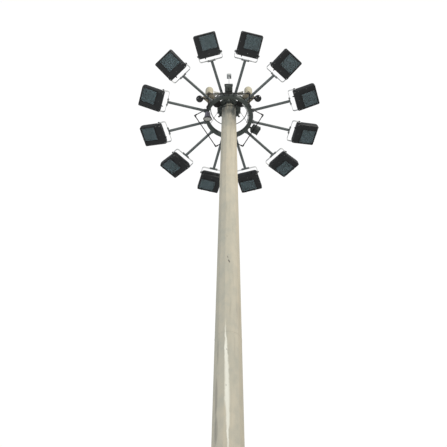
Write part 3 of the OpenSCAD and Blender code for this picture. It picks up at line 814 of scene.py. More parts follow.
def build(name: str, shape: Shape, finish: Finish, body: str | None, replaces: tuple = (),
          edge: Edge = Edge.NORMAL) -> bpy.types.Object:
    """Makes a shape an object with its finish, and rides it on a body.

    Args:
        name: the piece's name.
        shape: its points and faces, already in place.
        finish: what it is dressed in.
        body: the CAD body it rides on, or None for a piece that rides on no body.
        replaces: the CAD nodes that it stands for.
        edge: how sharp its creases stay.

    Returns:
        The object.
    """
    mesh = bpy.data.meshes.new(name)
    faces = shape.quads.tolist() + [cap.tolist() for cap in shape.caps]
    mesh.from_pydata(shape.points.tolist(), [], faces)
    mesh.shade_smooth()
    mesh.set_sharp_from_angle(angle=math.radians(edge.value))
    mesh.materials.append(finish.material())
    piece = bpy.data.objects.new(name, mesh)
    bpy.context.scene.collection.objects.link(piece)
    if body:
        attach(piece, body)
    if replaces:
        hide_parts(*replaces)
    log.info("%s: %d faces", name, len(faces))
    return piece


def dress(names: list[str], finish: Finish) -> None:
    """Gives CAD nodes a finish."""
    for name in names:
        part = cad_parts[name]
        part.data.materials.clear()
        part.data.materials.append(finish.material())
        log.info("%s: dressed", name)


@dataclass
class Mast:
    """The two mast sections, the base and the service door."""

    height: float = 20.0
    base_width: float = 0.56
    top_width: float = 0.26
    wall: float = 0.005
    fit: float = 0.0003
    joint: float = 9.0
    lap: float = 0.8
    flange: float = 0.035
    seam: float = 17.3
    fold: float = 0.014
    door: tuple[float, float, float] = (0.26, 1.0, 0.7)
    door_bar: float = 0.014
    door_stand: float = 0.012
    door_lap: float = 0.012

    def width(self, z: float, lower: bool = False) -> float:
        """Returns the distance across the flats at a height, of the upper or lower section."""
        taper = (self.base_width + 2 * (self.wall + self.fit) - self.top_width) / self.height
        upper = self.top_width + taper * (self.height - z)
        return upper - 2 * (self.wall + self.fit) if lower else upper

    def section(self, width: float, fold: float, n: int = 4) -> Array:
        """Outline of a twelve-sided section with folded corners.

        The corners' arcs have their centres at (width / 2 - fold) / cos 15 degrees, and each spans
        15 degrees to both sides of its corner.

        Args:
            width: distance across the flats.
            fold: radius of the corners.
            n: points in each corner.
        """
        corner = np.radians(15 + 30 * np.arange(12))[:, None]
        angle = corner + np.radians(np.linspace(-15, 15, n))[None, :]
        centre = (width / 2 - fold) / math.cos(math.radians(15))
        points = [centre * np.cos(corner) + fold * np.cos(angle), centre * np.sin(corner) + fold * np.sin(angle)]
        return np.stack(points, -1).reshape(-1, 2)

    def skin(self, z0: float, z1: float, lower: bool, rows: int) -> Shape:
        """A section's wall as one closed surface: up its outside and down its inside."""
        z = np.linspace(z0, z1, rows)
        outer = [self.section(self.width(level, lower), self.fold) for level in z]
        inner = [self.section(self.width(level, lower) - 2 * self.wall, self.fold - self.wall) for level in z[::-1]]
        return stacked(outer + inner, [*z, *z[::-1]], closed_along=True)

    def bead(self, path: Array, size: float, pitch: float = 0.022, closed: bool = False) -> Shape:
        """A weld bead along a path, its radius rippled by |sin| once for each pitch.

        Args:
            path: points about a third of a pitch apart.
            size: the bead's radius.
            pitch: length of a ripple.
            closed: whether the bead runs round.
        """
        length = np.concatenate([[0], np.cumsum(np.linalg.norm(np.diff(path, axis=0), axis=1))])
        ripple = size * (0.8 + 0.2 * np.abs(np.sin(math.pi * length / pitch)))
        return swept(path, ripple[:, None], 8, closed)

    def ring_bead(self, z: float, size: float, lower: bool) -> Shape:
        """A weld bead round a section."""
        outline = self.section(self.width(z, lower), self.fold, 6)
        steps = np.linspace(0, 1, 16, endpoint=False)[None, :, None]
        path = (outline[:, None] * (1 - steps) + np.roll(outline, -1, 0)[:, None] * steps).reshape(-1, 2)
        gap = np.linalg.norm(path - np.roll(path, 1, 0), axis=1) > 1e-4
        path = path[gap]
        return self.bead(np.column_stack([path, np.full(len(path), z)]), size, closed=True)

    def seams(self) -> Shape:
        """The long seams of both sections, up two flats of each."""
        beads = []
        for z0, z1, lower, angle in ((9.01, 19.99, False, 60), (9.01, 19.99, False, 150),
                                     (0.05, 9.0, True, 0), (0.05, 9.0, True, 120)):
            z = np.arange(z0, z1, 0.0075)
            r = np.array([self.width(level, lower) / 2 for level in (z0, z[-1])])
            r = np.interp(z, [z0, z[-1]], r) - 0.0015
            a = math.radians(angle)
            beads.append(self.bead(np.stack([r * math.cos(a), r * math.sin(a), z], -1), 0.004))
        return joined(beads)

    def door_place(self, out: float) -> Array:
        """The door's place: +X across it, +Y up the mast, +Z outwards from the front flat."""
        z = self.door[2]
        slope = math.degrees(math.atan((self.width(0) - self.width(1)) / 2))
        return move(0, -self.width(z, True) / 2, z) @ turn("X", 90 - slope) @ move(0, 0, out)

    def cut_door(self, piece: bpy.types.Object) -> None:
        """Cuts the door's opening in the lower section."""
        grow = self.door_bar + 0.0002
        outline = slot_outline(self.door[0] + 2 * grow, self.door[1] + 2 * grow) - [0, grow]
        shape = stacked([outline, outline], [-0.2, 0.1]).at(self.door_place(0))
        mesh = bpy.data.meshes.new("cutter")
        mesh.from_pydata(shape.points.tolist(), [], shape.quads.tolist() + [cap.tolist() for cap in shape.caps])
        cutter = bpy.data.objects.new("cutter", mesh)
        bpy.context.scene.collection.objects.link(cutter)
        modifier = piece.modifiers.new("door", "BOOLEAN")
        modifier.object, modifier.solver, modifier.operation = cutter, "EXACT", "DIFFERENCE"
        cut = bpy.data.meshes.new_from_object(piece.evaluated_get(bpy.context.evaluated_depsgraph_get()))
        piece.modifiers.clear()
        piece.data = cut
        cut.shade_smooth()
        cut.set_sharp_from_angle(angle=math.radians(Edge.CRISP.value))
        bpy.data.objects.remove(cutter)

    def build_sections(self) -> None:
        """Makes the two sections' skins and their welds."""
        upper = self.skin(self.joint, self.height, False, 24)
        build("mast_upper_skin", upper, MAST, "mast", ("mast_upper",), Edge.SOFT)
        lower = self.skin(self.flange, self.joint + self.lap, True, 20)
        piece = build("mast_lower_skin", lower, MAST, "mast", ("mast_lower",), Edge.SOFT)
        bpy.context.view_layer.update()
        self.cut_door(piece)
        beads = joined([self.seams(), self.ring_bead(self.seam, 0.0028, False),
                        self.ring_bead(13.1, 0.0022, False), self.ring_bead(4.6, 0.003, True)])
        build("mast_welds", beads, MAST, "mast", edge=Edge.SOFT)
        base = [self.ring_bead(self.flange + 0.002, 0.007, True)]
        build("base_weld", joined(base), FLANGE, "mast", edge=Edge.SOFT)
        nuts = []
        for angle in (0, 90, 180, 270):
            at = turn("Z", angle) @ move(self.width(self.joint) / 2 + 0.016, 0, self.joint + 0.05)
            nuts.append(hexagon((0.018, 0.018), [-0.02, 0.02]).at(at))
            at = turn("Z", angle) @ move(self.width(self.joint, True) / 2 + 0.016, 0, self.joint - 0.12)
            nuts.append(hexagon((0.018, 0.018), [-0.02, 0.02]).at(at))
        build("joint_lugs", joined(nuts), MAST, "mast")
        dress(["base_flange", "base_gussets"], FLANGE)
        log.info("mast sections done")

    def build_door(self) -> None:
        """Makes the door leaf with its gasket, hinges, locks and earth lug, and dresses its frame."""
        width, height, _ = self.door
        lap = self.door_lap
        place = self.door_place(self.door_stand)
        leaf = slot_outline(width + 2 * lap, height + 2 * lap, 20) - [0, lap]
        raised = grown(leaf, -0.03)
        shapes = [slab(leaf, 0, 0.005, 0.0012),
                  stacked([raised, grown(raised, -0.006)], [0.0048, 0.0075])]
        build("door_leaf_plate", joined(shapes).at(place), MAST, "mast", ("door_leaf",))
        gasket = [grown(leaf, -0.002), grown(leaf, -0.002), grown(leaf, -0.016), grown(leaf, -0.016)]
        ring = stacked(gasket, [-0.002, 0.0, 0.0, -0.002], closed_along=True)
        build("door_gasket", ring.at(place), RUBBER, "mast")
        small = []
        for y in (0.2, 0.8):
            barrel = lathed([(0.009, -0.05), (0.009, -0.018), (0.0078, -0.016), (0.009, -0.014), (0.009, 0.05)], 20)
            knuckle = barrel.at(move(-width / 2 - lap - 0.004, y, 0.006) @ turn("X", -90))
            wing = block((-width / 2 - lap, -width / 2 + 0.035), (y - 0.04, y + 0.04), (0.005, 0.009))
            spots = [move(-width / 2 + 0.012, y + d, 0.009) for d in (-0.025, 0.025)]
            screws = round_screw(0.005).repeated(np.stack(spots))
            small += [knuckle, wing, screws]
        for y in (0.12, 0.5, 0.88):
            lock = lathed([(0.018, 0.006), (0.018, 0.011), (0.015, 0.013), (0.010, 0.0132), (0.009, 0.010)], 28)
            key = stacked([polygon(3, 0.007), polygon(3, 0.006)], [0.009, 0.0155])
            small += [part.at(move(width / 2 - 0.035, y, 0)) for part in (lock, key)]
        build("door_fittings", joined(small).at(place), BOLT, "mast")
        dress(["door_frame"], MAST)
        lug = block((-0.02, 0.02), (-0.03, 0.03), (0, 0.008)).at(turn("Y", 90))
        lug = joined([lug, hex_bolt(0.012).at(move(0.008, 0, 0) @ turn("Y", 90))])
        build("earth_lug", lug.at(turn("Z", -60) @ move(self.width(0.35, True) / 2 - 0.0005, 0, 0.35)), BOLT, "mast")


@dataclass
class Head:
    """The head on the mast's top: plate, sheaves, latches, hoop, buffers, lead and top fitting."""

    z: float = 20.0
    plate_r: float = 0.22
    plate_t: float = 0.012
    sheave_at: float = 0.195
    sheave_r: float = 0.065
    sheave_z: float = 20.085
    hoop_r: float = 0.34488
    hoop_bar: float = 0.008
    buffer_r: float = 0.075
    buffer_at: float = 0.25788
    rod_h: float = 1.38
    spots: tuple[float, ...] = (-90.0, 30.0, 150.0)
    buffer_spots: tuple[float, ...] = (-30.0, 90.0, 210.0)

    def build_plate(self) -> None:
        """Makes the head plate with its bolts and underside ribs."""
        r, t, z = self.plate_r, self.plate_t, self.z
        disc = lathed([(r - 0.0015, z), (r, z + 0.0015), (r, z + t - 0.0015), (r - 0.0015, z + t)], 96)
        ribs = slab(np.array([[0.125, -0.05], [0.20, -0.006], [0.20, 0.0], [0.125, 0.0]]), -0.003, 0.003)
        stand = turn("X", 90)
        places = ring_places([float(a) for a in range(0, 360, 30)], 0.0, z)
        rib_ring = ribs.at(stand).repeated(places)
        build("head_plate_disc", joined([disc, rib_ring]), DARK, "mast", ("head_plate",))
        bolts = hex_bolt(0.016).repeated(ring_places([0.0, 60, 120, 180, 240, 300], 0.095, z + t))
        feet = hex_bolt(0.010).repeated(np.concatenate([
            ring_places([a + d for a in self.spots for d in (-14, 14)], 0.19, z + t),
            ring_places([a + d for a in self.buffer_spots for d in (-6, 6)], 0.198, z + t)]))
        build("head_bolts", joined([bolts, feet]), BOLT, "mast")

    def build_sheaves(self) -> None:
        """Makes the rope sheaves on their axles, the guards' bolts, and the ropes' inner runs."""
        r, half = self.sheave_r, 0.011
        groove = r - 0.0056
        angle = np.radians(np.linspace(-150, -30, 9))
        cup = [(groove + 0.0045 + 0.0045 * math.sin(a), 0.0045 * math.cos(a) * 1.1) for a in angle][::-1]
        profile = [(0.012, -0.011), (0.022, -0.011), (0.022, -0.006), (0.046, -0.0055), (0.05, -0.0095),
                   (r, -half), (r, -half + 0.003), *sorted(cup, key=lambda p: p[1]), (r, half - 0.003), (r, half),
                   (0.05, 0.0095), (0.046, 0.0055), (0.022, 0.006), (0.022, 0.011), (0.012, 0.011)]
        wheel = lathed(profile, 64)
        axle = lathed([(0.0105, -0.027), (0.012, -0.0255), (0.012, 0.0255), (0.0105, 0.027)], 32)
        nuts = joined([hexagon((0.017, 0.017, 0.0155), [side * z for z in (0.0185, 0.026, 0.0275)])
                       for side in (1, -1)])
        place = ring_places(self.spots, self.sheave_at, self.sheave_z) @ turn("X", 90)
        build("sheave_wheels", joined([wheel, axle, nuts]).repeated(place), ZINC, "mast", ("rope_sheaves",))
        dress(["sheave_cheeks"], DARK)
        runs = []
        reach = self.sheave_r - 0.0016
        t = np.radians(np.linspace(0, 180, 28))
        arc = np.stack([self.sheave_at + reach * np.cos(t), 0 * t, self.sheave_z + reach * np.sin(t)], -1)
        fall = np.array([[self.sheave_at - reach, 0, self.sheave_z - d] for d in (0.02, 0.04, 0.06, 0.0725)])
        for place in ring_places(self.spots):
            runs.append(twisted(np.concatenate([arc, fall]), 0.004, 0.045).at(place))
        build("rope_runs", joined(runs), ROPE, "mast", edge=Edge.SOFT)
        grommet = lathed([(0.006, 0.0), (0.013, 0.0), (0.013, 0.004), (0.010, 0.006), (0.006, 0.006)], 20, closed=True)
        places = ring_places(self.spots, self.sheave_at - reach, self.z + self.plate_t)
        build("rope_grommets", grommet.repeated(places), RUBBER, "mast")

    def build_docking(self) -> None:
        """Makes the latches, the hoop on its spokes, and the ribbed rubber buffers."""
        z, back = self.z, self.plate_r - 0.01
        foot = z - 0.095
        outline = np.array([[back - 0.06, z], [back - 0.024, z - 0.04], [back - 0.02, foot - 0.008],
                            [back + 0.014, foot - 0.022], [back + 0.026, foot], [back, foot], [back, z]])
        hook = slab(softened(outline, 0.003, 3), -0.015, 0.015, 0.0015).at(turn("X", 90))
        pin = bolt_pair(0.008, back - 0.012, 0.015, z - 0.05)
        places = ring_places(self.spots)
        build("latch_hooks", hook.repeated(places), DARK, "mast", ("docking_latches",))
        build("latch_pins", pin.repeated(places), BOLT, "mast")
        circle = arc_points(self.hoop_r, z - 0.004, 0, 360, 145)[:-1]
        hoop = swept(circle, self.hoop_bar, 12, closed=True)
        spoke = block((self.plate_r - 0.05, self.hoop_r), (-0.015, 0.015), (z - 0.008, z - 0.0002))
        rings = ring_places(self.buffer_spots)
        build("guide_hoop_bar", joined([hoop, spoke.repeated(rings)]), DARK, "mast", ("guide_hoop",))
        r = self.buffer_r
        ribs = [(0.02, -0.056), (0.036, -0.0555), (0.047, -0.052), (0.066, -0.047), (r - 0.004, -0.046), (r, -0.042)]
        for k in range(4):
            top = -0.039 + k * 0.009
            ribs += [(r, top), (r - 0.005, top + 0.002), (r - 0.005, top + 0.0045), (r, top + 0.0065)]
        ribs += [(r, -0.002), (r - 0.003, 0.0)]
        places = ring_places(self.buffer_spots, self.buffer_at, z - 0.008)
        build("buffer_pads", lathed(ribs, 56).repeated(places), RUBBER, "mast", ("docking_buffers",))
        washer = lathed([(0.026, 0.008), (0.026, 0.0105), (0.012, 0.011)], 28)
        bolt = hex_bolt(0.012).at(move(0, 0, 0.010))
        build("buffer_bolts", joined([washer, bolt]).repeated(places), BOLT, "mast")

    def build_lead(self) -> None:
        """Makes the lead that hangs across the mast's front, with its tapered ends.

        Its route's points are given from the head plate's underside.
        """
        route = np.array([[-168, 79, -60], [-182, 52, -68], [-190, 0, -110], [-160, -85, -170], [-95, -160, -225],
                          [0, -190, -250], [100, -185, -245], [190, -155, -205], [265, -112, -130],
                          [325, -74, -60], [339.64, -59.89, -15.5]]) / 1000 + [0, 0, self.z]
        path, fine = through(route, 3), through(route, 9)
        lead = build("head_lead_cord", swept(fine, 0.006, 14), LEAD, "mast",
                     ("head_lead",), Edge.SOFT)
        length = float(np.linalg.norm(np.diff(path, axis=0), axis=1).sum())
        ends = []
        for end in (fine[:8], fine[::-1][:8]):
            radii = np.interp(np.arange(8), [0, 1.5, 2, 7], [0.0115, 0.0115, 0.0095, 0.0066])[:, None]
            ends.append(swept(end, radii, 16))
        build("lead_sleeves", joined(ends), RUBBER, "mast", edge=Edge.SOFT)

    def build_top(self) -> None:
        """Makes the rod and the small square fitting on its end."""
        z = self.z + self.plate_t
        rod = lathed([(0.043, 0), (0.045, 0.001), (0.045, 0.011), (0.043, 0.014), (0.018, 0.014), (0.014, 0.03),
                      (0.0095, 0.034), (0.008, 0.05), (0.008, self.rod_h - 0.03), (0.012, self.rod_h - 0.028),
                      (0.012, self.rod_h)], 32)
        bolts = hex_bolt(0.008).repeated(ring_places(QUARTERS, 0.033, 0.0138))
        build("finial_post", joined([rod, bolts]).at(move(0, 0, z)), ZINC, "mast", ("finial_rod",))
        base = slab(rounded_rectangle((-0.045, 0.045), (-0.045, 0.045), 0.009), 0.0, 0.044, 0.003)
        lid = slab(rounded_rectangle((-0.045, 0.045), (-0.045, 0.045), 0.009), 0.0455, 0.060, 0.003)
        neck = slab(rounded_rectangle((-0.041, 0.041), (-0.041, 0.041), 0.008), 0.042, 0.048, 0.0005)
        rings = [(0.0315, 0.058)]
        for k in range(7):
            rings += [(0.0315, 0.062 + k * 0.005), (0.0296, 0.0642 + k * 0.005)]
        rings += [(0.0305, 0.098), (0.026, 0.105), (0.016, 0.109), (0.004, 0.110)]
        screws = round_screw(0.004).repeated(corners(0.036, 0.036, 0.0598))
        place = move(0, 0, z + self.rod_h)
        build("obstruction_base", joined([base, lid, neck]).at(place), FITTING, "mast", ("obstruction_lamp",))
        build("obstruction_lens", lathed(rings, 40).at(place), LENS, "mast")
        build("obstruction_screws", screws.at(place), STEEL, "mast")
        under = gland(0.011, 0.03).at(place @ move(0.026, 0.0, 0.0) @ turn("X", 180))
        build("obstruction_gland", under, BLACK, "mast")


def twisted(path: Array, r: float, pitch: float, strands: int = 6) -> Shape:
    """A rope of twisted strands along a path.

    At angle a round the rope and length s along it, the radius is
    r (0.82 + 0.18 |cos(strands / 2 (a - 2 pi s / pitch))|).

    Args:
        path: (n, 3) points.
        r: the rope's radius.
        pitch: length in which a strand goes once round.
        strands: how many.
    """
    steps = np.linalg.norm(np.diff(path, axis=0), axis=1)
    length = np.concatenate([[0], np.cumsum(steps)])
    even = np.arange(0, length[-1], pitch / 14)
    fine = np.stack([np.interp(even, length, path[:, k]) for k in range(3)], -1)
    angle = np.arange(30) * 2 * math.pi / 30
    wave = np.cos(strands / 2 * (angle[None, :] - 2 * math.pi * even[:, None] / pitch))
    return swept(fine, r * (0.82 + 0.18 * np.abs(wave)), 30)


@dataclass
class Carriage:
    """The lantern carriage: ring, lugs, ropes, arms, yokes, frames, conduit and fittings."""

    ring_z: float = 19.7
    ring_in: float = 0.37988
    ring_out: float = 0.43988
    ring_h: float = 0.09
    wall: float = 0.005
    lug_h: float = 0.03
    arm_d: float = 0.05
    arm_end: float = 1.16988
    pivot: float = 1.29488
    yoke_half: float = 0.2105
    yoke_t: float = 0.005
    yoke_bar: float = 0.045
    yoke_bend: float = 0.034
    yoke_tail: float = 0.026
    frame_d: float = 0.018
    frame_half: float = 0.37661
    frame_foot: float = 0.24457
    frame_out: float = 0.50988
    rope_top: tuple[float, float] = (0.2586, 20.085)
    rope_foot: tuple[float, float] = (0.40988, 19.779)
    spots: tuple[float, ...] = (-90.0, 30.0, 150.0)

    def arm_angles(self) -> list[float]:
        """Returns the arms' directions in degrees."""
        return [-75.0 + 30 * k for k in range(12)]

    def build_ring(self) -> None:
        """Makes the channel ring with its splice plates, lugs and bolts."""
        a, b, t = self.ring_in, self.ring_out, self.wall
        foot, top = self.ring_z - self.ring_h / 2, self.ring_z + self.ring_h / 2
        channel = np.array([[a, foot], [b, foot], [b, top], [b - t, top], [b - t, foot + t], [a + t, foot + t],
                            [a + t, top], [a, top]])
        profile = [tuple(point) for point in softened(channel, 0.0018, 3)]
        build("ring_channel", lathed(profile, 144, closed=True), RING, "carriage", ("carriage_ring",))
        splices, bolts = [], []
        for angle in (0.0, 120.0, 240.0):
            for radius, outward in ((b + 0.0026, 1), (a - 0.0026, -1)):
                arc = arc_points(radius, self.ring_z, angle - 8.5, angle + 8.5, 13)
                plate = bent_strip(arc[:, :2], 0.005, 0.062).at(move(0, 0, self.ring_z))
                if outward > 0 or angle > 0:  # the conduit runs where the inner plate at 0 degrees would be
                    splices.append(plate)
                for step in (-6.5, -2.5, 2.5, 6.5):
                    for lift in (-0.018, 0.018):
                        if outward > 0:
                            at = turn("Z", angle + step) @ move(radius + 0.002, 0, self.ring_z + lift)
                            bolts.append(hex_bolt(0.008).at(at @ turn("Y", 90)))
        build("ring_splices", joined(splices), ARM, "carriage")
        middle = (a + b) / 2
        lug_top = top + self.lug_h
        ear = [(-0.02, foot + t), (0.02, foot + t), (0.02, lug_top - 0.012), (0.008, lug_top), (-0.008, lug_top),
               (-0.02, lug_top - 0.012)]
        lug = slab(softened(np.array(ear), 0.003, 3), -0.008, 0.008).at(turn("X", 90))
        socket = lathed([(0.0085, 0.018), (0.011, 0.016), (0.0125, 0.0), (0.0125, -0.012), (0.010, -0.016)], 24)
        slope = math.degrees(math.atan2(middle - self.rope_top[0], self.rope_top[1] - lug_top))
        socket = socket.at(move(0, 0, lug_top + 0.004) @ turn("Y", -slope))
        places = ring_places(self.spots, middle, 0.0)
        build("lug_plates", joined([lug, socket]).repeated(places), ZINC, "carriage", ("rope_lugs",))
        pins = bolt_pair(0.010, 0, 0.008, top + 0.004).repeated(places)
        build("ring_bolts", joined([*bolts, pins]), BOLT, "carriage")

    def build_ropes(self) -> None:
        """Makes the hanging ropes.

        Each runs straight from its sheave's outer groove to its lug.
        """
        top, foot = (np.array([r, 0.0, z]) for r, z in (self.rope_top, self.rope_foot))
        line = np.linspace(top, foot, 60)
        ropes = twisted(line, 0.004, 0.045).repeated(ring_places(self.spots))
        piece = build("lowering_ropes", ropes, ROPE, None, ("hanging_ropes",), Edge.SOFT)
        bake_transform(piece)

    def build_arms(self) -> None:
        """Makes the arms with their collars, cross plates, welds and bolts."""
        r, start, end = self.arm_d / 2, self.ring_out - 0.004, self.arm_end - 0.0115
        tube = lathed([(r - 0.003, start), (r, start), (r, end), (r - 0.003, end)], 40).at(turn("Y", 90))
        collar = lathed([(r + 0.0002, 0.443), (r + 0.0085, 0.443), (r + 0.009, 0.445), (r + 0.009, 0.478),
                         (r + 0.0085, 0.480), (r + 0.0002, 0.480)], 40, closed=True).at(turn("Y", 90))
        cross = block((end, self.arm_end), (-0.075, 0.075), (-0.03, 0.03), 0.003)
        ring = np.linspace(0, 2 * math.pi, 49)[:-1]
        toe = np.stack([np.full(48, end - 0.001), r * np.cos(ring), r * np.sin(ring)], -1)
        weld = swept(toe, 0.004 * (0.85 + 0.15 * np.cos(ring * 24))[:, None], 8, closed=True)
        root = swept(toe * [0, 1, 1] + [0.4405, 0, 0], 0.004, 8, closed=True)
        shapes = joined([tube, collar, cross, weld, root])
        places = ring_places(self.arm_angles(), z=self.ring_z)
        build("arm_tubes", shapes.repeated(places), ARM, "carriage", ("arms",))
        face = self.arm_end + self.yoke_t - 0.0004
        bolts = [hex_bolt(0.012).at(move(face, y, 0) @ turn("Y", 90)) for y in (-0.055, 0.055)]
        bolts += [hex_bolt(0.012).at(move(end, y, 0) @ turn("Y", -90)) for y in (-0.055, 0.055)]
        bolts += [hex_bolt(0.007).at(move(0.4615, side * (r + 0.009), 0) @ turn("X", -90 * side)) for side in (1, -1)]
        build("arm_bolts", joined(bolts).repeated(places), STEEL, "carriage")

    def build_yokes(self) -> None:
        """Makes the flat-bar yokes: a U in plan whose legs end beyond the pivots."""
        outer = self.yoke_half + self.yoke_t / 2
        back = self.arm_end + self.yoke_t / 2
        tip = self.pivot + self.yoke_tail
        r = self.yoke_bend
        turn_ = np.radians(np.linspace(0, 90, 9))
        corner = np.stack([back + r - r * np.sin(turn_), outer - r + r * np.cos(turn_)], -1)
        half = np.concatenate([[[tip, outer], [tip - 0.02, outer], [self.pivot, outer]], corner,
                               [[back, 0.09], [back, 0.03]]])
        path = np.concatenate([half, half[::-1] * [1, -1]])
        bar = bent_strip(path, self.yoke_t, self.yoke_bar, 0.0012)
        washer = lathed([(0.015, 0), (0.015, 0.0008), (0.009, 0.0008)], 24)
        ends = []
        for side in (1, -1):
            ends.append(washer.at(move(self.pivot, side * (outer + self.yoke_t / 2), 0) @ turn("X", -90 * side)))
        for side in (1, -1):
            scale = np.array([[self.pivot - x, side * (outer + 0.0033)] for x in (0.07, 0.03)])
            ends.append(bent_strip(scale, 0.0015, 0.03, 0.0004))
        places = ring_places(self.arm_angles(), z=self.ring_z)
        build("yoke_bars", joined([bar, *ends]).repeated(places), ZINC, "carriage", ("yokes",))

    def build_frames(self) -> None:
        """Makes the three bent-bar frames under the ring, with clamp blocks on their corners."""
        z, top = self.ring_z - 0.1, self.ring_z + 0.01
        half, foot, out, r = self.frame_half, self.frame_foot, self.frame_out, self.frame_d / 2
        route = np.array([[foot, -half, top], [foot, -half, z], [out, -half, z], [out, half, z], [foot, half, z],
                          [foot, half, top]])
        path = softened(route, 0.012, 7, closed=False)
        bar = swept(path, r, 16)
        cuff = lathed([(r, -0.016), (0.0125, -0.015), (0.0135, -0.011), (0.0135, 0.011), (0.0125, 0.015),
                       (r, 0.016)], 20)
        shapes = [bar]
        for side in (-1, 1):
            shapes.append(cuff.at(move(out, side * (half - 0.028), z) @ turn("X", 90)))
            shapes.append(cuff.at(move(out - 0.028, side * half, z) @ turn("Y", 90)))
            knot = lathed([(0.004, -0.0135), (0.0095, -0.0095), (0.0132, -0.003), (0.0132, 0.003),
                           (0.0095, 0.0095), (0.004, 0.0135)], 20)
            shapes.append(knot.at(move(out, side * half, z)))
            strap = block((-0.011, 0.011), (-0.026, 0.026), (-0.003, 0.003), 0.002)
            place = turn("Z", side * 57.0)
            shapes.append(strap.at(place @ move(self.ring_out + 0.0195, 0, self.ring_z - 0.012) @ turn("Y", 90)))
        places = ring_places(self.spots)
        build("frame_bars", joined(shapes).repeated(places), BLACK, "carriage", ("carrier_frames",))

    def build_conduit(self) -> None:
        """Makes the ribbed conduit inside the ring, with saddles and end fittings.

        Its radius is 16.4 mm + 1.4 mm sin of its length, one rib for each nine of its 400 points.
        """
        r = self.ring_in - 0.018 - 0.0002
        arc = arc_points(r, self.ring_z - 0.01, -44.0, 21.0, 400)
        ribs = 0.0164 + 0.0014 * np.sin(np.arange(400) * 2 * math.pi / 9)
        tube = swept(arc, ribs[:, None], 20)
        ends = [swept(arc_points(r, self.ring_z - 0.01, a, b, 5), 0.0178, 20)
                for a, b in ((-45.0, -41.5), (18.5, 22.0))]
        build("conduit_hose", joined([tube, *ends]), ZINC, "carriage", ("ring_conduit",), Edge.SOFT)
        saddle = swept(arc_points(r, self.ring_z - 0.01, -0.9, 0.9, 4), 0.0188, 20)
        places = ring_places((-34.0, -19.0, -4.0, 11.0))
        build("conduit_saddles", saddle.repeated(places), DARK, "carriage")

    def build_boxes(self) -> None:
        """Makes the two junction boxes with lids, screws, glands and straps."""
        centre, half, z = self.ring_out + 0.05 + 0.07, 0.07, self.ring_z
        body = block((centre - half, centre + half), (-half, half), (z - 0.05, z + 0.05), 0.012)
        rib = block((centre + half - 0.003, centre + half + 0.001), (-half - 0.004, half + 0.004),
                    (z - 0.052, z + 0.052), 0.002)
        outline = rounded_rectangle((-0.078, 0.078), (-0.054, 0.054), 0.012)
        face = move(centre + half, 0, z) @ turn("Y", 90) @ turn("Z", 90)
        lid = slab(outline, 0.001, 0.008, 0.002).at(face)
        pad = slab(grown(outline, -0.018), 0.0075, 0.0088, 0.0008).at(face)
        screws = round_screw(0.0045).repeated(corners(0.068, 0.044, 0.0078)).at(face)
        strap = block((self.ring_out - 0.0004, centre - half + 0.001), (-0.02, 0.02), (z - 0.025, z - 0.019), 0.002)
        glands = joined([gland(0.014, 0.034).at(move(centre + x, y, z - 0.05) @ turn("X", 180))
                         for x, y in ((-0.03, -0.035), (-0.03, 0.0), (-0.03, 0.035), (0.025, 0.0))])
        places = ring_places((-90.0, 30.0))
        build("box_shells", joined([body, rib, lid, pad, strap]).repeated(places), BOX, "carriage", ("junction_boxes",))
        build("box_screws", screws.repeated(places), STEEL, "carriage")
        build("box_glands", glands.repeated(places), BLACK, "carriage")

    def build_beacons(self) -> None:
        """Makes the two round-topped fittings with plates, feet, ribbed lenses, and their horns."""
        z, at = self.ring_z + self.ring_h / 2, self.ring_out + 0.07
        plate = slab(rounded_rectangle((-0.095, 0.095), (-0.095, 0.095), 0.012), 0, 0.008, 0.0015)
        saddle = slab(rounded_rectangle((0.0, 0.095), (-0.02, 0.02), 0.004), -0.0198, 0.0005, 0.001)
        foot = lathed([(0.074, 0.007), (0.075, 0.009), (0.075, 0.013), (0.071, 0.016), (0.071, 0.021), (0.075, 0.024),
                       (0.075, 0.034), (0.074, 0.036)], 56)
        lugs = block((0.068, 0.084), (-0.009, 0.009), (0.008, 0.03), 0.003).repeated(ring_places(QUARTERS))
        places = ring_places([-45.0, -135.0], at, z)
        feet = joined([plate, saddle, foot, lugs]).repeated(places)
        build("beacon_feet", feet, BEACON, "carriage", ("beacon_bases",))
        t = np.radians(np.linspace(0, 84, 12))
        rows = [(0.0745, 0.036)]
        for k in range(25):
            rows += [(0.075, 0.042 + k * 0.0098), (0.0737, 0.0462 + k * 0.0098)]
        rows += [(0.0745 * math.cos(a), 0.291 + 0.075 * math.sin(a)) for a in t] + [(0.004, 0.366)]
        build("beacon_opals", lathed(rows, 56).repeated(places), LENS, "carriage", ("beacon_lenses",))
        bolts = hex_bolt(0.008).repeated(corners(0.082, 0.082, 0.0078))
        small = joined([bolts, hex_bolt(0.006).at(move(0, 0, 0.03)).repeated(ring_places(QUARTERS, 0.078))])
        build("beacon_bolts", small.repeated(places), STEEL, "carriage")
        flare = np.linspace(0, 1, 18)
        outer = [(0.0125 + 0.0365 * (1 - x) ** 1.9, 0.17 * x) for x in flare[1:]]
        inner = [(0.011 + 0.0365 * (1 - x) ** 1.9, 0.17 * x) for x in flare[1:-3]][::-1]
        bell = lathed([(0.0475, 0.0), (0.049, 0.001), (0.05, 0.0035), (0.049, 0.006), *outer, (0.0125, 0.17), *inner,
                       (0.0470, 0.004)], 44)
        driver = lathed([(0.014, 0.118), (0.026, 0.121), (0.028, 0.126), (0.028, 0.160), (0.026, 0.168),
                         (0.012, 0.170)], 36)
        nose = lathed([(0.018, 0.085), (0.02, 0.055), (0.017, 0.03), (0.010, 0.02), (0.003, 0.017)], 28)
        horn = joined([bell, driver, nose]).at(move(0, 0, 0.062) @ turn("Y", 90))
        post = block((0.0567, 0.0767), (-0.01, 0.01), (0.003, 0.045), 0.003)
        strap = block((-0.025, 0.0767), (-0.01, 0.01), (0, 0.006), 0.003)
        t = np.radians(np.linspace(-70, 70, 21))
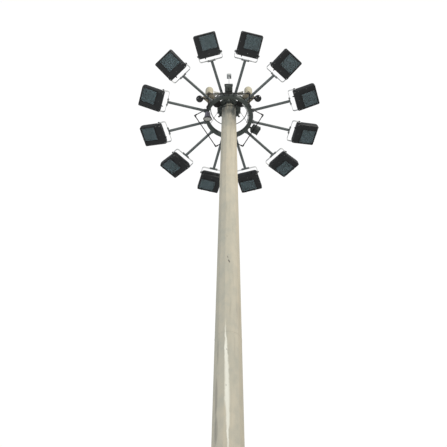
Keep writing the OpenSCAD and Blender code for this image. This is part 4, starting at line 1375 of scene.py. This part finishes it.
        cradle = swept(np.stack([0 * t + 0.0667, 0.042 * np.sin(t), 0.062 - 0.042 * np.cos(t)], -1), 0.004, 10)
        x, y = 0.2695, -0.41054
        whole = joined([horn, post, strap, cradle])
        places = np.stack([move(side * x, y, z + 0.008) @ turn("Z", 180 if side > 0 else 0) for side in (1, -1)])
        build("horn_bells", whole.repeated(places), HORN, "carriage", ("beacon_horns",))

    def build_domes(self) -> None:
        """Makes the two camera domes with their shells, rims, caps and brackets."""
        r, top = 0.065, 0.0293
        x, y, z = self.frame_half + 0.155, -self.frame_out + 0.1, self.ring_z - 0.1
        t = np.radians(np.linspace(-86, -4, 22))
        bubble = lathed([(r * math.cos(a), r * math.sin(a)) for a in t] + [(r - 0.0015, 0.002), (r - 0.02, 0.004)], 56)
        u = np.radians(np.linspace(3, 26, 8))
        shell = lathed([(r - 0.003, 0.0), (r, 0.001), *[(r * math.cos(a), r * math.sin(a)) for a in u],
                        (r - 0.012, top + 0.001), (0.039, top + 0.003), (0.0385, top + 0.018), (0.035, top + 0.025),
                        (0.02, top + 0.025)], 56)
        rim = lathed([(r - 0.003, -0.004), (r + 0.001, -0.003), (r + 0.0013, 0.001), (r + 0.001, 0.004),
                      (r - 0.003, 0.005)], 56, closed=True)
        screws = round_screw(0.003).at(turn("Y", 90)).repeated(ring_places([20.0, 140.0, 260.0], r + 0.0007, 0.0005))
        shapes, shells, bits = [], [], []
        for side in (-1, 1):
            place = move(side * x, y, z)
            shapes.append(bubble.at(place))
            arm = lathed([(0.011, 0.05), (0.011, 0.1436), (0.014, 0.144), (0.014, 0.1455)], 24)
            arm = arm.at(turn("Y", -90 * side))
            nut = hexagon((0.016, 0.016), [0.078, 0.09]).at(turn("Y", -90 * side))
            shells.append(joined([shell, rim, arm, nut]).at(place))
            bits.append(screws.at(place))
        build("dome_bubbles", joined(shapes), DOME, "carriage", edge=Edge.SOFT)
        build("dome_shells", joined(shells), BLACK, "carriage", ("camera_domes",))
        build("dome_screws", joined(bits), STEEL, "carriage")

    def build_bell(self) -> None:
        """Makes the bell-shaped fitting: stem, neck, flared shell, black rim and pale face."""
        middle = (self.ring_in + self.ring_out) / 2
        angle = math.radians(197)
        place = move(middle * math.cos(angle), middle * math.sin(angle), self.ring_z - self.ring_h / 2 - 0.045)
        tilted = place @ turn("X", 35)
        neck = lathed([(0.011, 0.014), (0.032, 0.014), (0.034, 0.012), (0.046, 0.0), (0.0475, -0.006), (0.0485, -0.020),
                       (0.0495, -0.022), (0.0495, -0.026), (0.0485, -0.028), (0.052, -0.05)], 48)
        u = np.linspace(0, 1, 14)
        flare = [(0.052 + 0.026 * v**1.25, -0.05 - 0.068 * v) for v in u]
        shell = lathed([(0.02, -0.048), *flare, (0.0775, -0.119), (0.06, -0.119)], 56)
        stem = lathed([(0.011, -0.019), (0.012, -0.017), (0.012, 0.043), (0.017, 0.0435), (0.017, 0.0449),
                       (0.008, 0.045)], 28)
        build("bell_shell", joined([neck.at(tilted), shell.at(tilted), stem.at(place)]), BELL, "carriage",
              ("bell_housing",))
        rim = lathed([(0.0722, -0.116), (0.0805, -0.1162), (0.082, -0.118), (0.082, -0.132), (0.0805, -0.134),
                      (0.0735, -0.134), (0.0722, -0.1325)], 56, closed=True)
        build("bell_rim", rim.at(tilted), RUBBER, "carriage")
        face = lathed([(0.0716, -0.118), (0.0716, -0.1285), (0.066, -0.130), (0.064, -0.1288), (0.060, -0.1288),
                       (0.058, -0.130), (0.03, -0.1298), (0.018, -0.1295), (0.017, -0.1285), (0.004, -0.1285)], 56)
        build("bell_face_disc", face.at(tilted), WHITE, "carriage", ("bell_face",))


@dataclass
class Floodlight:
    """One floodlight, built about its pivot: +X outwards from the mast, face down, then tilted."""

    number: int
    width: float = 0.405
    length: float = 0.42
    inner: float = -0.04
    tilt: float = 13.0
    pivot: float = 1.29488
    ring_z: float = 19.7
    window_x: tuple[float, float] = (0.098, 0.354)
    window_y: tuple[float, float] = (-0.0975, 0.1785)

    def place(self) -> Array:
        """Returns the floodlight's place."""
        return turn("Z", -75 + 30 * (self.number - 1)) @ move(self.pivot, 0, self.ring_z) @ turn("Y", -self.tilt)

    def outline(self, inset: float, r: float = 0.022) -> Array:
        """Outline of the body, drawn in by inset."""
        half = self.width / 2 - inset
        ends = self.inner + inset, self.inner + self.length - inset
        return rounded_rectangle(ends, (-half, half), max(r, 0.004), 6)

    def window(self, grow: float, r: float = 0.008) -> Array:
        """Outline of the window, grown by grow."""
        x, y = self.window_x, self.window_y
        return rounded_rectangle((x[0] - grow, x[1] + grow), (y[0] - grow, y[1] + grow), r, 6)

    def body(self) -> Shape:
        """The cast body: from the back's flat over a bulge, down its sides, and into the window.

        The bulge is a quarter of an ellipse, inset 38 mm (1 - cos a) at height 76 mm sin a.
        """
        a = np.radians(np.linspace(90, 0, 10))
        rows = [(self.outline(0.038 * (1 - math.cos(v)), 0.022 + 0.02 * math.sin(v)), -0.01 + 0.076 * math.sin(v))
                for v in a]
        rows += [(self.outline(0.0), -0.04), (self.outline(0.0), -0.052), (self.outline(0.003), -0.0535),
                 (self.outline(0.003), -0.0565), (self.outline(0.0), -0.058), (self.outline(0.0), -0.074),
                 (self.outline(0.0018), -0.0782), (self.outline(0.006), -0.08), (self.outline(0.016), -0.08),
                 (self.window(0.014), -0.08), (self.window(0.010), -0.0775), (self.window(0.003), -0.0775),
                 (self.window(0.0), -0.077), (self.window(0.0), -0.0755), (self.window(0.0045), -0.0752),
                 (self.window(0.0045), -0.068), (self.window(-0.0005), -0.067), (self.window(-0.008), -0.045)]
        return stacked([row[0] for row in rows], [row[1] for row in rows])

    def fins(self) -> Shape:
        """Cooling ribs along the back, and bosses at its corners."""
        ribs = []
        for y in np.arange(-0.12, 0.121, 0.03):
            u = np.linspace(0, 1, 14)
            x = self.inner + 0.02 + (self.length - 0.04) * u
            lift = 0.078 * np.sin(np.pi * u) ** 0.28
            top = np.stack([x, np.maximum(lift, 0.03)], -1)
            low = np.array([[x[-1], 0.02], [x[0], 0.02]])
            rib = slab(np.concatenate([top[::-1], low[::-1]]), -0.0016, 0.0016, 0.0005)
            ribs.append(rib.at(move(0, y, 0) @ turn("X", 90)))
        return joined(ribs)

    def trim(self) -> Shape:
        """The raised rim round the window, two hinges and two clips."""
        rim = stacked([self.window(0.012, 0.016), self.window(0.013, 0.017), self.window(0.013, 0.017),
                       self.window(0.001, 0.008), self.window(0.001, 0.008)],
                      [-0.0770, -0.0788, -0.0825, -0.0825, -0.0770], closed_along=True)
        parts = [rim]
        for y in (-0.05, 0.117):
            parts.append(lathed([(0.0045, -0.02), (0.0055, -0.019), (0.0055, 0.019), (0.0045, 0.02)], 16)
                         .at(move(self.window_x[0] - 0.017, y, -0.0825) @ turn("X", 90)))
            parts.append(block((self.window_x[1] - 0.002, self.window_x[1] + 0.024), (y - 0.012, y + 0.012),
                               (-0.0855, -0.081), 0.002))
        return joined(parts)

    def pivots(self) -> Shape:
        """The bosses, pins and six-sided knobs on both sides."""
        side_at = self.width / 2
        boss = lathed([(0.024, -0.004), (0.0205, 0.0), (0.0205, 0.0055), (0.019, 0.007), (0.009, 0.007)], 32)
        pin = lathed([(0.008, 0.0), (0.008, 0.015)], 24)
        knob = hexagon((0.0155, 0.017, 0.017, 0.0145), [0.014, 0.0155, 0.025, 0.028])
        both = [joined([boss, pin, knob]).at(turn("X", -90 * side) @ move(0, 0, side_at)) for side in (1, -1)]
        back = gland(0.012, 0.03).at(move(self.inner + 0.0005, -0.09, -0.02) @ turn("Y", -90))
        return joined([*both, back])

    def build(self) -> None:
        """Makes this floodlight's pieces and rides them on its body."""
        body, place = f"floodlight_{self.number}", self.place()
        cast = joined([self.body(), self.fins(), self.trim(), self.pivots()]).at(place)
        build(f"lamp_cast_{self.number}", cast, LAMP, body, (f"lamp_housing_{self.number}",))
        edge_y = self.width / 2 - 0.022
        spots = [(self.inner + 0.022, side * edge_y, 0.0068) for side in (-1, 1)]
        spots += [(self.inner + self.length - 0.015, side * (edge_y + 0.005), 0.0042) for side in (-1, 1)]
        spots += [(0.05, -edge_y, 0.0042), (0.2, -edge_y, 0.0042), (0.02, 0.0, 0.0042), (0.05, edge_y, 0.0042)]
        screws = [round_screw(r).at(move(x, y, -0.0797) @ turn("X", 180)) for x, y, r in spots]
        build(f"lamp_screws_{self.number}", joined(screws).at(place), STEEL, body)
        mouth, deep = self.window(-0.002), self.window(-0.012, 0.012)
        pan = stacked([deep, mouth, grown(mouth, 0.0008), grown(deep, 0.0008)], [-0.054, -0.066, -0.066, -0.0528])
        x0, x1 = self.window_x[0] + 0.014, self.window_x[1] - 0.014
        y = self.window_y[0] + 0.016, self.window_y[1] - 0.016
        rows = []
        for x in np.linspace(x0, x1, 10):
            row = rounded_rectangle((x - 0.0085, x + 0.0085), y, 0.004, 4)
            rows.append(stacked([grown(row, -0.005), row], [-0.0585, -0.0535]))
        build(f"lamp_pan_{self.number}", joined([pan, *rows]).at(place), REFLECTOR, body)
        dress([f"lamp_glass_{self.number}"], PANE)


@dataclass
class Studio:
    """The floor, the sky, the soft lights and the camera."""

    focus: float = 1092.9
    picture: float = 447.0
    eye: tuple[float, float, float] = (0.105, -9.3378, 1.6)
    pitch: float = 0.9966
    yaw: float = -0.0199
    roll: float = 0.0101

    def build_camera(self) -> None:
        """Places the camera near the ground, looking up at the head."""
        sy, cy, sp, cp = math.sin(self.yaw), math.cos(self.yaw), math.sin(self.pitch), math.cos(self.pitch)
        ahead, right = np.array([sy * cp, cy * cp, sp]), np.array([cy, -sy, 0.0])
        up = np.cross(right, ahead)
        sr, cr = math.sin(self.roll), math.cos(self.roll)
        place = np.eye(4)
        place[:3, :3] = np.stack([cr * right + sr * up, -sr * right + cr * up, -ahead], -1)
        place[:3, 3] = self.eye
        data = bpy.data.cameras.new("view")
        data.sensor_width = 36.0
        data.lens = self.focus / self.picture * 36.0
        data.clip_end = 200.0
        camera = bpy.data.objects.new("view", data)
        camera.matrix_world = Matrix(place.tolist())
        bpy.context.scene.collection.objects.link(camera)
        bpy.context.scene.camera = camera

    def build_sky(self) -> None:
        """A pale even sky, white where it is seen directly."""
        world = bpy.data.worlds.new("sky")
        world.use_nodes = True
        tree = world.node_tree
        back = tree.nodes["Background"]
        seen = node(tree, "LightPath").outputs["Is Camera Ray"]
        colour = blended(tree, seen, (0.92, 0.96, 1.0), (1.0, 1.0, 1.0))
        tree.links.new(colour, back.inputs["Color"])
        tree.links.new(sums(tree, "MULTIPLY_ADD", seen, 0.6, 0.43), back.inputs["Strength"])
        bpy.context.scene.world = world
        bpy.context.scene.view_settings.view_transform = "Standard"

    def build_floor(self) -> None:
        """A plain pale floor."""
        half, z = 150.0, -0.002
        mesh = bpy.data.meshes.new("floor")
        mesh.from_pydata([(-half, -half, z), (half, -half, z), (half, half, z), (-half, half, z)], [], [(0, 1, 2, 3)])
        floor = bpy.data.objects.new("floor", mesh)
        bpy.context.scene.collection.objects.link(floor)
        made = bpy.data.materials.new("floor_paint")
        made.use_nodes = True
        made.node_tree.nodes["Principled BSDF"].inputs["Base Color"].default_value = (0.78, 0.77, 0.75, 1)
        made.node_tree.nodes["Principled BSDF"].inputs["Roughness"].default_value = 0.85
        mesh.materials.append(made)

    def build_light(self, name: str, spot: tuple, aim: tuple, size: float, power: float, colour: Colour) -> None:
        """Adds a soft square light.

        Args:
            name: its name.
            spot: where it stands.
            aim: the point it faces.
            size: its side.
            power: watts.
            colour: its colour.
        """
        data = bpy.data.lights.new(name, "AREA")
        data.size, data.energy, data.color = size, power, colour
        light = bpy.data.objects.new(name, data)
        away = np.array(spot) - np.array(aim)
        away = away / np.linalg.norm(away)
        side = np.cross([0.0, 0.0, 1.0], away)
        side = side / np.linalg.norm(side)
        place = np.eye(4)
        place[:3, :3] = np.stack([side, np.cross(away, side), away], -1)
        place[:3, 3] = spot
        light.matrix_world = Matrix(place.tolist())
        bpy.context.scene.collection.objects.link(light)

    def build(self) -> None:
        """Sets up the sky, the floor and the lights."""
        self.build_sky()
        self.build_floor()
        self.build_light("key", (14.0, -14.0, 26.0), (0.0, 0.0, 15.0), 8.0, 3300.0, (1.0, 0.96, 0.88))
        self.build_light("fill", (-16.0, -12.0, 14.0), (0.0, 0.0, 16.0), 10.0, 1500.0, (0.94, 0.97, 1.0))


def main() -> None:
    """Builds the tower's pieces in order."""
    logging.basicConfig(level=logging.INFO, format="%(name)s: %(message)s")
    studio = Studio()
    studio.build_camera()
    head = Head()
    head.build_lead()
    studio.build()
    mast, carriage = Mast(), Carriage()
    for make in (mast.build_sections, mast.build_door, head.build_plate, head.build_sheaves, head.build_docking,
                 head.build_top, carriage.build_ring, carriage.build_ropes, carriage.build_arms,
                 carriage.build_yokes, carriage.build_frames, carriage.build_conduit, carriage.build_boxes,
                 carriage.build_beacons, carriage.build_domes, carriage.build_bell):
        make()
    for number in range(1, 13):
        Floodlight(number).build()


if __name__ == "__main__":
    main()
